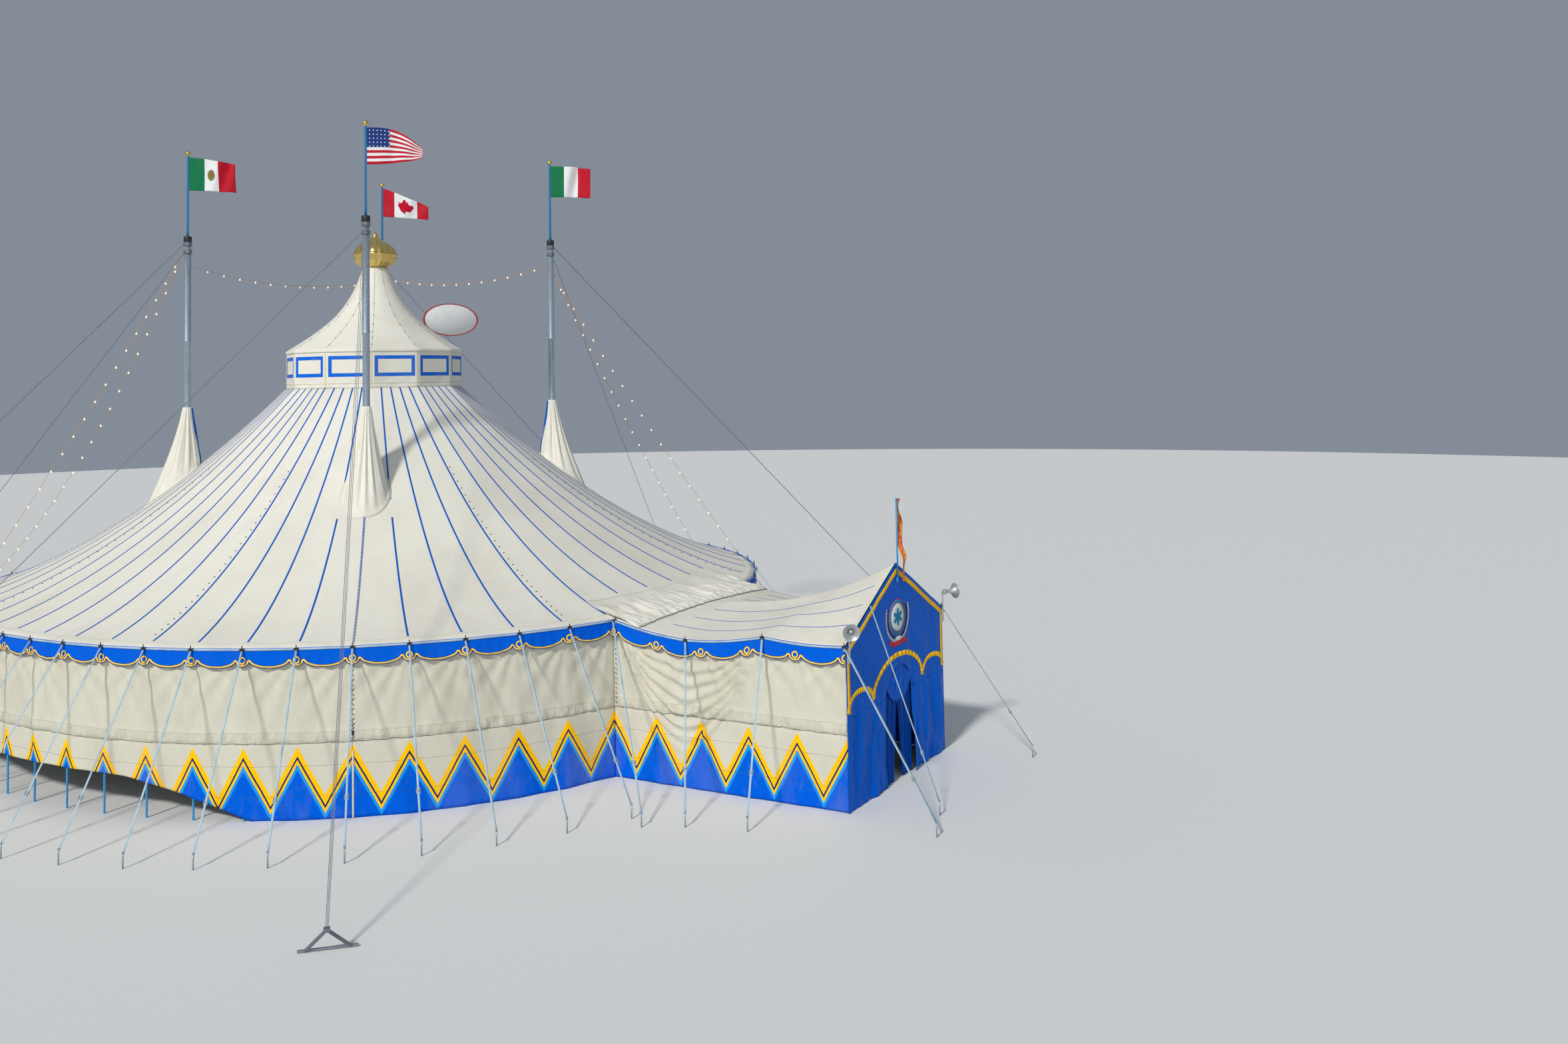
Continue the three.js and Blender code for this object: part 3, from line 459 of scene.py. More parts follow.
def zigzag_canvas(name):
    material, tree, shader = new_finish(name, 0.85, gloss=0.03)
    u, v = uv_parts(tree)
    from_peak = calc(tree, "PINGPONG", u, 0.5)
    line = minus(tree, ZIGZAG_TOP, times(tree, from_peak, 2 * (ZIGZAG_TOP - ZIGZAG_LOW)))
    place = coordinates(tree)
    wobble = times(tree, minus(tree, spots(tree, place, 3.0), 0.5), 0.05)
    below = minus(tree, line, plus(tree, v, wobble))
    colour = WALL_CREAM
    for start, tint in ((0.0, GOLD), (0.235, NAVY), (0.32, GOLD), (0.435, SKY), (0.58, ROYAL)):
        colour = mix(tree, over(tree, below, start), colour, tint)
    wave = times(tree, minus(tree, spots(tree, place, 5.0), 0.5), 0.09)
    seam_height = plus(tree, v, wave)
    # The dark line along the seam is partly stitching and partly painted shade under the puckered gathers.
    seam = between(tree, seam_height, WALL_SEAM - 0.011, WALL_SEAM + 0.011)
    colour = stained(tree, colour, seam, 0.75, paint(86, 84, 78))
    for level in HEM_SEAMS:
        stitch = between(tree, v, level - 0.006, level + 0.006)
        colour = stained(tree, colour, stitch, 0.45, paint(60, 70, 92))
    gather = between(tree, seam_height, WALL_SEAM, WALL_SEAM + GATHER_DEPTH)
    ripple = spots(tree, stretched(tree, place, (8.0, 8.0, 3.5)), 1.0, 4.0, 0.65)
    # Painted shade: the hollows between the gathers above the seam are darkened to stand in for shade in
    # the creases.
    painted_crease_shade = times(tree, gather, ramp(tree, ripple, 0.62, 0.36))
    colour = stained(tree, colour, painted_crease_shade, 0.2, paint(150, 142, 122))
    # Painted shade: a thin dark line along the top of the gathers stands in for the shade where the folds
    # bunch.
    rim = between(tree, seam_height, WALL_SEAM + GATHER_DEPTH - 0.006, WALL_SEAM + GATHER_DEPTH + 0.008)
    colour = stained(tree, colour, rim, 0.3, paint(120, 114, 98))
    streaked = stretched(tree, place, (1, 1, 0.4))
    weathered(tree, shader, colour, streaked, SOIL, 0.25, 0.8, rough=(0.62, 0.88))
    puckered = times(tree, times(tree, gather, ripple), 1.5)
    bump(tree, shader, plus(tree, weave_height(tree, place), puckered), 0.05)
    return material


wall_finish = zigzag_canvas("zigzag_wall_canvas")
print("zigzag from", ZIGZAG_LOW, "to", ZIGZAG_TOP, "m")

# %% [markdown]
# The valance is royal blue with a gold stroke, outlined in navy, along its scalloped edge and a
# gold ring over each small scallop. Its UV map gives the distance from the nearest ring and the
# height above the edge, both in metres, so ring and stroke are plain distances.

# %% Valance cloth
RING_DEPTH = 0.29
RING_RADIUS = 0.07
STROKE_MIDDLE = 0.036
STROKE_HALF = 0.018
OUTLINE_HALF = 0.030


def valance_cloth(name):
    material, tree, shader = new_finish(name, 0.6, gloss=0.03)
    u, v = uv_parts(tree)
    away = calc(tree, "SQRT", square_sum(tree, u, minus(tree, v, RING_DEPTH)))
    off_ring = calc(tree, "ABSOLUTE", minus(tree, away, RING_RADIUS))
    to_edge = tree.nodes.new("ShaderNodeAttribute")
    to_edge.attribute_name = "edge"
    off_edge = calc(tree, "ABSOLUTE", minus(tree, to_edge.outputs["Fac"], STROKE_MIDDLE))
    near = calc(tree, "MINIMUM", off_ring, off_edge)
    outlined = mix(tree, under(tree, near, OUTLINE_HALF), ROYAL, NAVY)
    colour = mix(tree, under(tree, near, STROKE_HALF), outlined, PALE_GOLD)
    place = coordinates(tree)
    weathered(tree, shader, colour, place, paint(60, 96, 150), 0.1, 1.2, rough=(0.5, 0.75))
    bump(tree, shader, weave_height(tree, place, 90.0), 0.02)
    return material


valance_finish = valance_cloth("blue_valance_cloth")

# %% [markdown]
# Plain dyed cloths, webbing, paints and metals. Each has its own colour drift, soiling and bump:
# satin keeps a soft sheen, galvanised steel shows spangle, brass is polished with dull patches.

# %% Plain cloths and paints


def plain_cloth(
    name, colour, rough=(0.6, 0.8), soil=0.15, scale=1.5, gloss=0.06, sheen=0.0, glint=(1, 1, 1)
):
    material, tree, shader = new_finish(name, 0.7, gloss=gloss)
    place = coordinates(tree)
    weathered(tree, shader, colour, place, paint(70, 96, 132), soil, scale, rough)
    shader.inputs["Sheen Weight"].default_value = sheen
    shader.inputs["Sheen Tint"].default_value = (*glint, 1)
    shader.inputs["Sheen Roughness"].default_value = 0.35
    bump(tree, shader, weave_height(tree, place, 120.0), 0.015)
    return material


def painted(name, colour, rough=(0.35, 0.6), chips=0.2, scale=6.0):
    material, tree, shader = new_finish(name, 0.5)
    place = coordinates(tree)
    weathered(tree, shader, colour, place, paint(92, 86, 78), chips, scale, rough)
    bump(tree, shader, spots(tree, place, 40.0), 0.002, 0.3)
    return material


def metal(name, colour, dull, rough, scale, amount, share=0.55):
    material, tree, shader = new_finish(name, 0.4, share)
    place = coordinates(tree)
    cells = tree.nodes.new("ShaderNodeTexVoronoi")
    feed(tree, cells.inputs["Vector"], place)
    cells.inputs["Scale"].default_value = scale
    grain = ramp(tree, cells.outputs["Distance"], 0.0, 0.7)
    tinted = mix(tree, times(tree, grain, amount), colour, dull)
    weathered(tree, shader, tinted, place, dull, 0.5, 1.5, rough)
    bump(tree, shader, spots(tree, place, 12.0), 0.004, 0.35)
    return material


tape_finish = plain_cloth("blue_tape", paint(0, 92, 196), soil=0.08, scale=3.0)
SATIN = {"rough": (0.3, 0.46), "soil": 0.02, "gloss": 0.03, "glint": (0.02, 0.28, 1.0)}
facade_finish = plain_cloth("facade_cloth", FACADE, sheen=0.35, **SATIN)
# A darker copy of the front cloth for the door curtains: painted shade for the recess of the doorway.
painted_shade_facade_cloth = plain_cloth("facade_inner_cloth_painted_shade", paint(0, 62, 150), sheen=0.3, **SATIN)
gold_braid = plain_cloth("gold_braid", GOLD, rough=(0.5, 0.7), soil=0.2, scale=4.0)
strap_finish = plain_cloth("strap_webbing", paint(176, 198, 210), soil=0.4, scale=2.5)
rope_finish = plain_cloth("dark_lacing", paint(84, 92, 106), rough=(0.8, 0.95), scale=8.0)
hem_finish = plain_cloth("cream_webbing", paint(214, 208, 190), soil=0.35, scale=5.0)
pole_paint = painted("light_blue_paint", paint(44, 148, 210))
black_paint = painted("black_fitting_paint", paint(26, 27, 30), rough=(0.45, 0.7))
red_paint = painted("red_sign_paint", paint(190, 34, 44))
white_paint = painted("white_sign_paint", paint(236, 236, 234), chips=0.12, scale=3.0)
orange_cable = painted("orange_cable", paint(206, 140, 62), rough=(0.5, 0.7))
steel = metal("galvanised_steel", paint(176, 192, 206), paint(128, 142, 156), (0.4, 0.62), 22.0, 0.6)
wire_steel = metal("wire_rope_steel", paint(138, 146, 154), paint(84, 90, 98), (0.45, 0.65), 60.0, 0.5)
brass = metal("polished_brass", paint(240, 212, 128), paint(146, 118, 56), (0.2, 0.38), 3.0, 0.3, 0.9)
horn_metal = metal("horn_aluminium", paint(196, 200, 202), paint(128, 132, 134), (0.35, 0.55), 30.0, 0.35)
print("finishes:", len(bpy.data.materials))

# %% [markdown]
# A lamp glass glows a little even by day, so its emission follows a soft mask.

# %% Lamp glass
bulb_glass, tree, shader = new_finish("lamp_glass", 0.25)
glow = mix(tree, spots(tree, coordinates(tree), 20.0), paint(255, 248, 226), paint(244, 232, 200))
feed(tree, shader.inputs["Base Color"], glow)
feed(tree, shader.inputs["Emission Color"], glow)
shader.inputs["Emission Strength"].default_value = 0.35
print("lamp glass set")

# %% [markdown]
# Every piece is a bmesh whose vertices are already in place. `finished` turns one into an
# object, gives it its finish, smooths it and lets it ride on the frame's one body. `cloth_sheet`
# bends a flat grid onto any surface that a function of (across, down) describes, which suits
# canvas better than modelling it by hand, because the folds are then part of the formula.

# %% Mesh helpers
CLOTH = 0.004
THIN_CLOTH = 0.003
WELD = 1e-5
CREAM_CLOTH = {"slot": "cream_canvas", "thickness": CLOTH}
FACADE_CLOTH = {"slot": "facade_canvas", "thickness": CLOTH}


def finished(name, bm, finish, slot, smooth_faces=True, thickness=0.0):
    bmesh.ops.recalc_face_normals(bm, faces=bm.faces)
    mesh = bpy.data.meshes.new(name)
    bm.to_mesh(mesh)
    bm.free()
    mesh.materials.append(finish)
    mesh.polygons.foreach_set("use_smooth", [smooth_faces] * len(mesh.polygons))
    piece = new_object(name, mesh)
    if thickness:
        wall = piece.modifiers.new("thickness", "SOLIDIFY")
        wall.thickness = thickness
        wall.offset = 0
    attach(piece, BODY)
    return piece


def area_of(piece):
    return round(sum(face.area for face in piece.data.polygons), 1)


def blank():
    bm = bmesh.new()
    bm.loops.layers.uv.verify()
    return bm


def add_sheet(bm, columns, rows, place, uv=None, closed=False):
    """Adds a grid bent onto place(across, down); uv(across, down) gives its map."""
    layer = bm.loops.layers.uv.verify()
    grid = bmesh.ops.create_grid(bm, x_segments=columns, y_segments=rows, size=0.5)["verts"]
    shares = {vert: (vert.co.x + 0.5, vert.co.y + 0.5) for vert in grid}
    for face in {face for vert in grid for face in vert.link_faces}:
        for loop in face.loops:
            share = shares[loop.vert]
            loop[layer].uv = uv(*share) if uv else share
    for vert, share in shares.items():
        vert.co = place(*share)
    if closed:
        bmesh.ops.remove_doubles(bm, verts=grid, dist=WELD)
    return shares


def cloth_sheet(name, columns, rows, place, finish, uv=None, closed=False, **options):
    bm = blank()
    add_sheet(bm, columns, rows, place, uv, closed)
    return finished(name, bm, finish, **options)


def add_strip(bm, steps, line, side, width):
    """Adds a flat band along line(t), its width laid along side."""

    def place(across, down):
        return line(down) + side * (across - 0.5) * width

    add_sheet(bm, 1, steps, place)


def add_tube(bm, start, end, radius, sides=8, end_radius=None):
    """Adds a capped rod between two points."""
    along = end - start
    turn = along.to_track_quat("Z", "Y").to_matrix().to_4x4()
    middle = Matrix.Translation((start + end) / 2)
    bmesh.ops.create_cone(
        bm, cap_ends=True, segments=sides, radius1=radius,
        radius2=radius if end_radius is None else end_radius, depth=along.length, matrix=middle @ turn,
    )


def add_block(bm, size, place, heading=0.0):
    fit = Matrix.Translation(place) @ Matrix.Rotation(heading, 4, "Z") @ Matrix.Diagonal((*size, 1))
    bmesh.ops.create_cube(bm, size=1, matrix=fit)


def add_turned(bm, profile, steps, fit):
    """Adds a profile of (radius, height) spun round the Z axis, then set in place by the matrix."""
    before = set(bm.verts)
    verts = [bm.verts.new((radius, 0, height)) for radius, height in profile]
    edges = [bm.edges.new(pair) for pair in zip(verts, verts[1:])]
    bmesh.ops.spin(
        bm, geom=verts + edges, cent=(0, 0, 0), axis=(0, 0, 1), angle=math.tau, steps=steps, use_merge=True
    )
    bmesh.ops.remove_doubles(bm, verts=[vert for vert in bm.verts if vert not in before], dist=WELD)
    fresh = [vert for vert in bm.verts if vert not in before]
    bmesh.ops.transform(bm, matrix=fit, verts=fresh)


print("mesh helpers ready")

# %% [markdown]
# The big top's roof is sewn from sixty cream gores. It leaves the cupola steeply and flattens
# towards the eave, a hollow curve that the cloth takes between its taut seams. One continuous
# sheet is bent onto that curve, dipping a little between the seams as stretched canvas does.

# %% Roof surface
COLLAR = 0.01
COLLAR_LAP = 0.09
ROOF_FALL = DRUM_BOTTOM - EAVE_Z - 0.02
ROOF_ROWS = 46
STEPS_PER_GORE = 4
EAVE_SLOPE_LENGTH = 10.2


def roof_inner(azimuth):
    return drum_radius(azimuth) + COLLAR


def roof_point(u, share, lift=0.0):
    def radius_at(azimuth):
        return roof_inner(azimuth) + (eave_radius(azimuth) - roof_inner(azimuth)) * share

    fall = 0.3 * share + 0.7 * (1 - max(0.0, 1 - share) ** 1.8)
    dip = math.sin(math.pi * (u - math.floor(u))) * (0.012 * share + 0.03 * share**6)
    return facet(u, radius_at, DRUM_BOTTOM - ROOF_FALL * fall + lift - dip)


def from_axis(place):
    return math.hypot(place.x, place.y - AXIS_Y)


def roof_share(place):
    u = (math.atan2(place.x, AXIS_Y - place.y) + ANNEX_EDGE) / GORE % GORES
    inner = from_axis(facet(u, roof_inner))
    return u, (from_axis(place) - inner) / (from_axis(facet(u, eave_radius)) - inner)


def on_roof(place, lift=0.0):
    u, share = roof_share(place)
    return Vector((place.x, place.y, roof_point(u, share, lift).z))


def roof_cloth(across, down):
    row = down * ROOF_ROWS
    u = across * GORES
    if row < 0.5:
        return facet(u, lambda azimuth: drum_radius(azimuth) - COLLAR_LAP, DRUM_BOTTOM - 0.006)
    return roof_point(u, (row - 1) / (ROOF_ROWS - 1), -0.006)


def gore_width(share):
    return (3 + 10 * share) * GORE


def roof_map(across, down):
    u = across * GORES
    share = max(0.0, (down * ROOF_ROWS - 1) / (ROOF_ROWS - 1))
    return (u - round(u)) * gore_width(share), (1 - share) * EAVE_SLOPE_LENGTH


roof = cloth_sheet(
    "roof_canvas", GORES * STEPS_PER_GORE, ROOF_ROWS, roof_cloth, roof_finish, uv=roof_map, closed=True,
    **CREAM_CLOTH,
)
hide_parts("roof_front", "roof_right", "roof_back", "roof_left")
print("roof area", area_of(roof), "m2")

# %% [markdown]
# Blue tapes cover the seams from the cupola to just above the eave. Beside each mast the tape
# stops at the boot and starts again below it. The mast's own gore line has a laced seam instead:
# a blue strip with dark lashings, so that the roof can be put up in quarters.

# %% Seam tapes and lacing
TAPE_WIDTH = 0.047
TAPE_LIFT = 0.004
TAPE_END = 0.965
ANNEX_GORES = 5
FLAP_START = 0.88
BOOT_SHARES = (0.385, 0.45)
MAST_LINES = [round(to_gore(azimuth)) % GORES for azimuth in MAST_AZIMUTHS.values()]


def add_roof_strip(bm, u, start, end, width, steps):
    def place(across, down):
        share = start + (end - start) * down
        return roof_point(u + (across - 0.5) * width / gore_width(share), share, TAPE_LIFT)

    add_sheet(bm, 2, steps, place)


bm = blank()
for line in range(GORES):
    if line in MAST_LINES:
        continue
    end = FLAP_START - 0.015 if 0 < line <= ANNEX_GORES else TAPE_END
    beside = any(abs((line - mast + 30) % GORES - 30) == 1 for mast in MAST_LINES)
    if beside:
        add_roof_strip(bm, line, 0.0, BOOT_SHARES[0], TAPE_WIDTH, 14)
        add_roof_strip(bm, line, BOOT_SHARES[1], end, TAPE_WIDTH, 18)
    else:
        add_roof_strip(bm, line, 0.0, end, TAPE_WIDTH, 32)
tapes = finished("roof_seam_tapes", bm, tape_finish, slot="blue_canvas", thickness=CLOTH)

LACING_START = 0.40
LACING_END = 0.99
LACED_WIDTH = 0.05
LASHINGS = 72
EYELETS_PER_ROW = 26
EYELET_AWAY = 4.15
bm = blank()
ties = blank()
for line in MAST_LINES:
    add_roof_strip(bm, line, LACING_START, LACING_END, LACED_WIDTH, 20)
    for i in range(LASHINGS):
        share = LACING_START + (LACING_END - LACING_START) * (i + 0.5) / LASHINGS
        slant = 0.012 if i % 2 else -0.012
        chord = gore_width(share)
        near = roof_point(line - 0.03 / chord, share - slant / 10, 0.014)
        far = roof_point(line + 0.03 / chord, share + slant / 10, 0.014)
        add_tube(ties, near, far, 0.012, 5)
laced = finished("roof_laced_seams", bm, tape_finish, slot="blue_canvas", thickness=CLOTH)
lashing = finished("roof_lashings", ties, hem_finish, slot="strap_webbing")

eyelets = blank()
for line in MAST_LINES:
    for aside in (-EYELET_AWAY, EYELET_AWAY):
        for i in range(EYELETS_PER_ROW):
            place = roof_point(line + aside, 0.28 + 0.026 * i, TAPE_LIFT)
            add_tube(eyelets, place, place + Vector((0, 0, 0.012)), 0.026, 6, 0.02)
finished("roof_eyelets", eyelets, black_paint, slot="galvanised_steel", smooth_faces=False)
print("tape lines", GORES - len(MAST_LINES), "laced seams", len(MAST_LINES))

# %% [markdown]
# A canvas boot closes the roof round each mast. It is gathered tight at its neck and sewn to the
# roof on a broad oval foot, so pleats run down it and fade out below. Its wall meets the roof
# where the two surfaces cross, found by halving a step down each pleat.

# %% Boots
BOOT_TOP = 10.15
BOOT_FALL = 3.0
BOOT_COLUMNS = 96
BOOT_ROWS = 26
BOOT_HEM = 0.09
BOOT_NECK = 0.135


def mast_foot(azimuth):
    return polar(azimuth, MAST_CIRCLE)


def boot_point(azimuth, angle, level, swell=0.0):
    spread = 0.5 * level + 0.5 * level * level
    out = outward_at(azimuth)
    side = Vector((-out.y, out.x, 0))
    radial = (BOOT_NECK + 0.765 * spread + swell) * math.cos(angle) + 0.2 * spread
    aside = (BOOT_NECK + 0.665 * spread + swell) * math.sin(angle)
    place = mast_foot(azimuth) + out * radial + side * aside
    place.z = BOOT_TOP - BOOT_FALL * level
    return place


def boot_end(azimuth, angle):
    low, high = 0.2, 1.4
    for _ in range(22):
        middle = (low + high) / 2
        place = boot_point(azimuth, angle, middle)
        if place.z > on_roof(place).z:
            low = middle
        else:
            high = middle
    return low


def boot_cloth(azimuth, ends):
    def place(across, down):
        angle = across * math.tau
        column = across * BOOT_COLUMNS
        low = math.floor(column)
        end = ends[low % BOOT_COLUMNS] * (low + 1 - column)
        end += ends[(low + 1) % BOOT_COLUMNS] * (column - low)
        if down > 0.97:
            foot = boot_point(azimuth, angle, end, BOOT_HEM)
            return on_roof(foot, 0.010)
        run = down / 0.96
        if run > 0.999:
            return on_roof(boot_point(azimuth, angle, end), 0.014)
        ripple = 1.2 - 2.2 * abs(math.sin(angle * 6.5 + 0.9 * math.sin(angle * 2)))
        ripple += 0.5 * math.sin(angle * 19 + 2.0)
        deep = math.sin(math.pi * min(1.0, run * 1.02)) ** 0.6
        swell = 0.045 * ripple * deep * (0.3 + 0.8 * run)
        swell += 0.014 * math.sin(angle * 14) * smooth(0.0, 0.06, run) * (1 - run)
        return boot_point(azimuth, angle, end * run, swell)

    return place


for corner, degrees in MAST_AZIMUTHS.items():
    azimuth = math.radians(degrees)
    ends = [boot_end(azimuth, math.tau * i / BOOT_COLUMNS) for i in range(BOOT_COLUMNS)]
    boot = cloth_sheet(
        "boot_" + corner, BOOT_COLUMNS, BOOT_ROWS, boot_cloth(azimuth, ends), boot_finish, closed=True,
        **CREAM_CLOTH,
    )
    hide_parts("mast_boot_" + corner)
    print(boot.name, "area", area_of(boot), "reaches", round(min(ends), 2), round(max(ends), 2))

    def lining_place(across, down, azimuth=azimuth, ends=ends):
        place = boot_cloth(azimuth, ends)(0.5 + (across - 0.5) * (0.1 - 0.045 * down), 0.015 + 0.92 * down)
        outward = place - mast_foot(azimuth)
        outward.z = 0
        return place + outward.normalized() * (0.014 + 0.02 * math.sin(math.pi * across))

    lining = cloth_sheet(
        "boot_lining_" + corner, 6, 30, lining_place, tape_finish, slot="blue_canvas", thickness=THIN_CLOTH
    )

# %% [markdown]
# The cupola is a twelve-sided cloth drum with a blue frame appliquéd on each side, a flared cone
# roof, and a polished brass finial. The drum's canvas hangs from its top ring and wrinkles
# above the seam near its foot. The frames are part of its finish, measured from panel centres.

# %% Drum finish and cloth
PANEL_WIDTH = 2 * DRUM_RADIUS * math.sin(math.pi / DRUM_SIDES)
FRAME_TOP = 0.18
FRAME_LOW = 0.876
FRAME_HALF = 0.67
FRAME_BORDER = 0.12


def framed_canvas(name):
    material, tree, shader = new_finish(name, 0.85, gloss=0.15)
    u, v = uv_parts(tree)
    aside = minus(tree, calc(tree, "ABSOLUTE", u), FRAME_HALF)
    level = calc(tree, "ABSOLUTE", minus(tree, v, (FRAME_TOP + FRAME_LOW) / 2))
    above = minus(tree, level, (FRAME_LOW - FRAME_TOP) / 2)
    outside = calc(tree, "MAXIMUM", aside, above)
    frame_mask = between(tree, outside, -FRAME_BORDER, 0.0)
    seam = between(tree, v, 1.1, 1.118)
    edge = over(tree, calc(tree, "ABSOLUTE", u), PANEL_WIDTH / 2 - 0.035)
    colour = stained(tree, CREAM, seam, 0.6, paint(140, 128, 100))
    colour = stained(tree, colour, edge, 0.55, paint(196, 180, 142))
    colour = mix(tree, frame_mask, colour, paint(0, 98, 212))
    place = coordinates(tree)
    weathered(tree, shader, colour, place, SOIL, 0.25, 0.9, rough=(0.7, 0.9))
    height = plus(tree, weave_height(tree, place), times(tree, frame_mask, 0.15))
    bump(tree, shader, height, 0.025)
    return material


framed_finish = framed_canvas("framed_drum_canvas")
DRUM_DROP = DRUM_TOP - DRUM_BOTTOM


def drum_cloth(across, down):
    side = min(DRUM_SIDES - 1, math.floor(across * DRUM_SIDES + 1e-9))
    share = across * DRUM_SIDES - side
    corner = DRUM_CORNER + side * math.tau / DRUM_SIDES
    first = polar(corner, DRUM_RADIUS)
    second = polar(corner + math.tau / DRUM_SIDES, DRUM_RADIUS)
    place = first.lerp(second, share)
    place.z = DRUM_TOP - 0.002 - down * (DRUM_DROP - 0.004)
    out = (first + second) / 2 - polar(0, 0)
    out.z = 0
    slack = math.sin(math.pi * share)
    crumple = wander(place.x * 1.7, place.y * 1.7, place.z * 2.6)
    low = smooth(0.62, 0.86, down) * (1 - smooth(0.97, 1.0, down))
    slant = abs(math.sin(place.z * 13 + share * 7)) + abs(math.sin(place.z * 13 - share * 7))
    return place - out.normalized() * slack * (0.012 + low * (0.05 * abs(crumple) + 0.012 * slant))


bm = blank()
for side in range(DRUM_SIDES):
    add_sheet(
        bm, 12, 22,
        lambda across, down, side=side: drum_cloth((side + across * 0.99999) / DRUM_SIDES, down),
        uv=lambda across, down: ((across - 0.5) * PANEL_WIDTH, down * DRUM_DROP),
    )
bmesh.ops.remove_doubles(bm, verts=bm.verts[:], dist=1e-3)
drum = finished("cupola_drum_cloth", bm, framed_finish, **CREAM_CLOTH)
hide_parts("cupola_drum")
print("drum panels", DRUM_SIDES, "each", round(PANEL_WIDTH, 2), "m wide")

# %% [markdown]
# The cone flares like a skirt: almost upright under the finial and nearly flat over the drum.
# Its profile is a smooth curve through a few measured points, and its plan turns from round at
# the top to twelve-sided at the hem, where a narrow lip covers the top of the drum.

# %% Cone
CONE_PROFILE = [
    (2.998, -0.055, 1.0), (3.0, 0.03, 1.0), (2.43, 0.40, 0.8), (1.90, 0.78, 0.5), (1.33, 1.28, 0.2),
    (0.90, 1.86, 0.0), (0.63, 2.39, 0.0), (0.42, 2.985, 0.0),
]


def along_curve(points, t):
    """Point on a smooth curve through the points, t running from 0 to 1."""
    run = t * (len(points) - 1)
    i = min(len(points) - 2, math.floor(run))
    s = run - i
    before = points[max(0, i - 1)]
    after = points[min(len(points) - 1, i + 2)]
    found = []
    for a, b, c, d in zip(before, points[i], points[i + 1], after):
        bend = (2 * b) + (c - a) * s + (2 * a - 5 * b + 4 * c - d) * s**2 + (3 * b - a - 3 * c + d) * s**3
        found.append(bend / 2)
    return found


CONE_ROWS = 36


def cone_point(azimuth, t, lift=0.0):
    if t < 1 / 12:
        radius, rise, flat = [a + (b - a) * t * 12 for a, b in zip(CONE_PROFILE[0], CONE_PROFILE[1])]
    else:
        radius, rise, flat = along_curve(CONE_PROFILE[1:], (t - 1 / 12) / (11 / 12))
    factor = drum_radius(azimuth) / DRUM_RADIUS
    slack = 0.01 * (1 - abs(2 * (((azimuth - DRUM_CORNER) / math.tau * DRUM_SIDES) % 1) - 1))
    reach = radius * (1 + (factor - 1) * max(0.0, flat)) - slack * flat + lift
    return polar(azimuth, reach, DRUM_TOP + rise)


cone = cloth_sheet(
    "cupola_cone_cloth", 144, CONE_ROWS,
    lambda across, down: cone_point(across * math.tau + DRUM_CORNER, down), cone_finish,
    uv=lambda across, down: (across * 12, down * 4.2), closed=True, **CREAM_CLOTH,
)
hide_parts("cupola_cone")

bm = blank()
studs = blank()
for side in range(DRUM_SIDES):
    azimuth = DRUM_CORNER + side * math.tau / DRUM_SIDES

    def seam_place(across, down, azimuth=azimuth):
        t = 0.1 + 0.88 * down
        half = 0.014 / max(0.4, from_axis(cone_point(azimuth, t)))
        return cone_point(azimuth + (across - 0.5) * 2 * half, t, 0.006)

    add_sheet(bm, 2, 26, seam_place)
    for t in (0.16, 0.25, 0.34, 0.43, 0.53, 0.64):
        place = cone_point(azimuth, t, 0.004)
        ahead = cone_point(azimuth, t + 0.01)
        around = cone_point(azimuth + 0.01, t) - cone_point(azimuth - 0.01, t)
        normal = around.cross(ahead - place).normalized()
        add_tube(studs, place, place + normal * 0.022, 0.028, 8, 0.018)
cone_seams = finished("cupola_cone_seams", bm, hem_finish, slot="cream_canvas", thickness=THIN_CLOTH)
finished("cupola_cone_eyelets", studs, steel, slot="galvanised_steel")
print("cone rows", CONE_ROWS, "eyelets", DRUM_SIDES * 6)

# %% [markdown]
# The finial is beaten brass in twenty bulging gores, so it is spun as a full turn and then
# drawn in at the joints between them. A rolled bead hides the joint at its widest place.

# %% Finial
FINIAL_GORES = 20
finial_low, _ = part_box("cupola_finial")
FINIAL_PROFILE = [
    (0.0, 0.0), (0.44, 0.0), (0.47, 0.035), (0.56, 0.08), (0.645, 0.15), (0.705, 0.24), (0.738, 0.34),
    (0.745, 0.41), (0.765, 0.43), (0.772, 0.455), (0.765, 0.48), (0.744, 0.50), (0.728, 0.57),
    (0.69, 0.65), (0.625, 0.73), (0.53, 0.81), (0.41, 0.885), (0.29, 0.945), (0.19, 1.005),
    (0.125, 1.08), (0.085, 1.15), (0.10, 1.18), (0.085, 1.21), (0.03, 1.25), (0.0, 1.295),
]
bm = blank()
add_turned(bm, FINIAL_PROFILE, FINIAL_GORES * 6, Matrix.Identity(4))
for vert in bm.verts:
    radius = math.hypot(vert.co.x, vert.co.y)
    if radius > 0.15:
        turn = math.atan2(vert.co.y, vert.co.x) % (math.tau / FINIAL_GORES) - math.pi / FINIAL_GORES
        flat = 1 - 0.045 * (abs(turn) * FINIAL_GORES / math.pi) ** 2
        vert.co.xy *= 1 + (flat - 1) * smooth(0.15, 0.5, radius)
bmesh.ops.translate(bm, verts=bm.verts[:], vec=(0, AXIS_Y, finial_low.z))
finial = finished("cupola_finial_brass", bm, brass, slot="brass")
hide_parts("cupola_finial")
print("finial", [round(value, 2) for value in finial.dimensions])

# %% [markdown]
# Each mast is a galvanised tube in bolted lengths, with a black collar, a thin blue flagpole and
# a brass ball. One profile spun round the axis gives the tube its joint rings. The four masts
# are alike, so each finish is one piece made four times over.

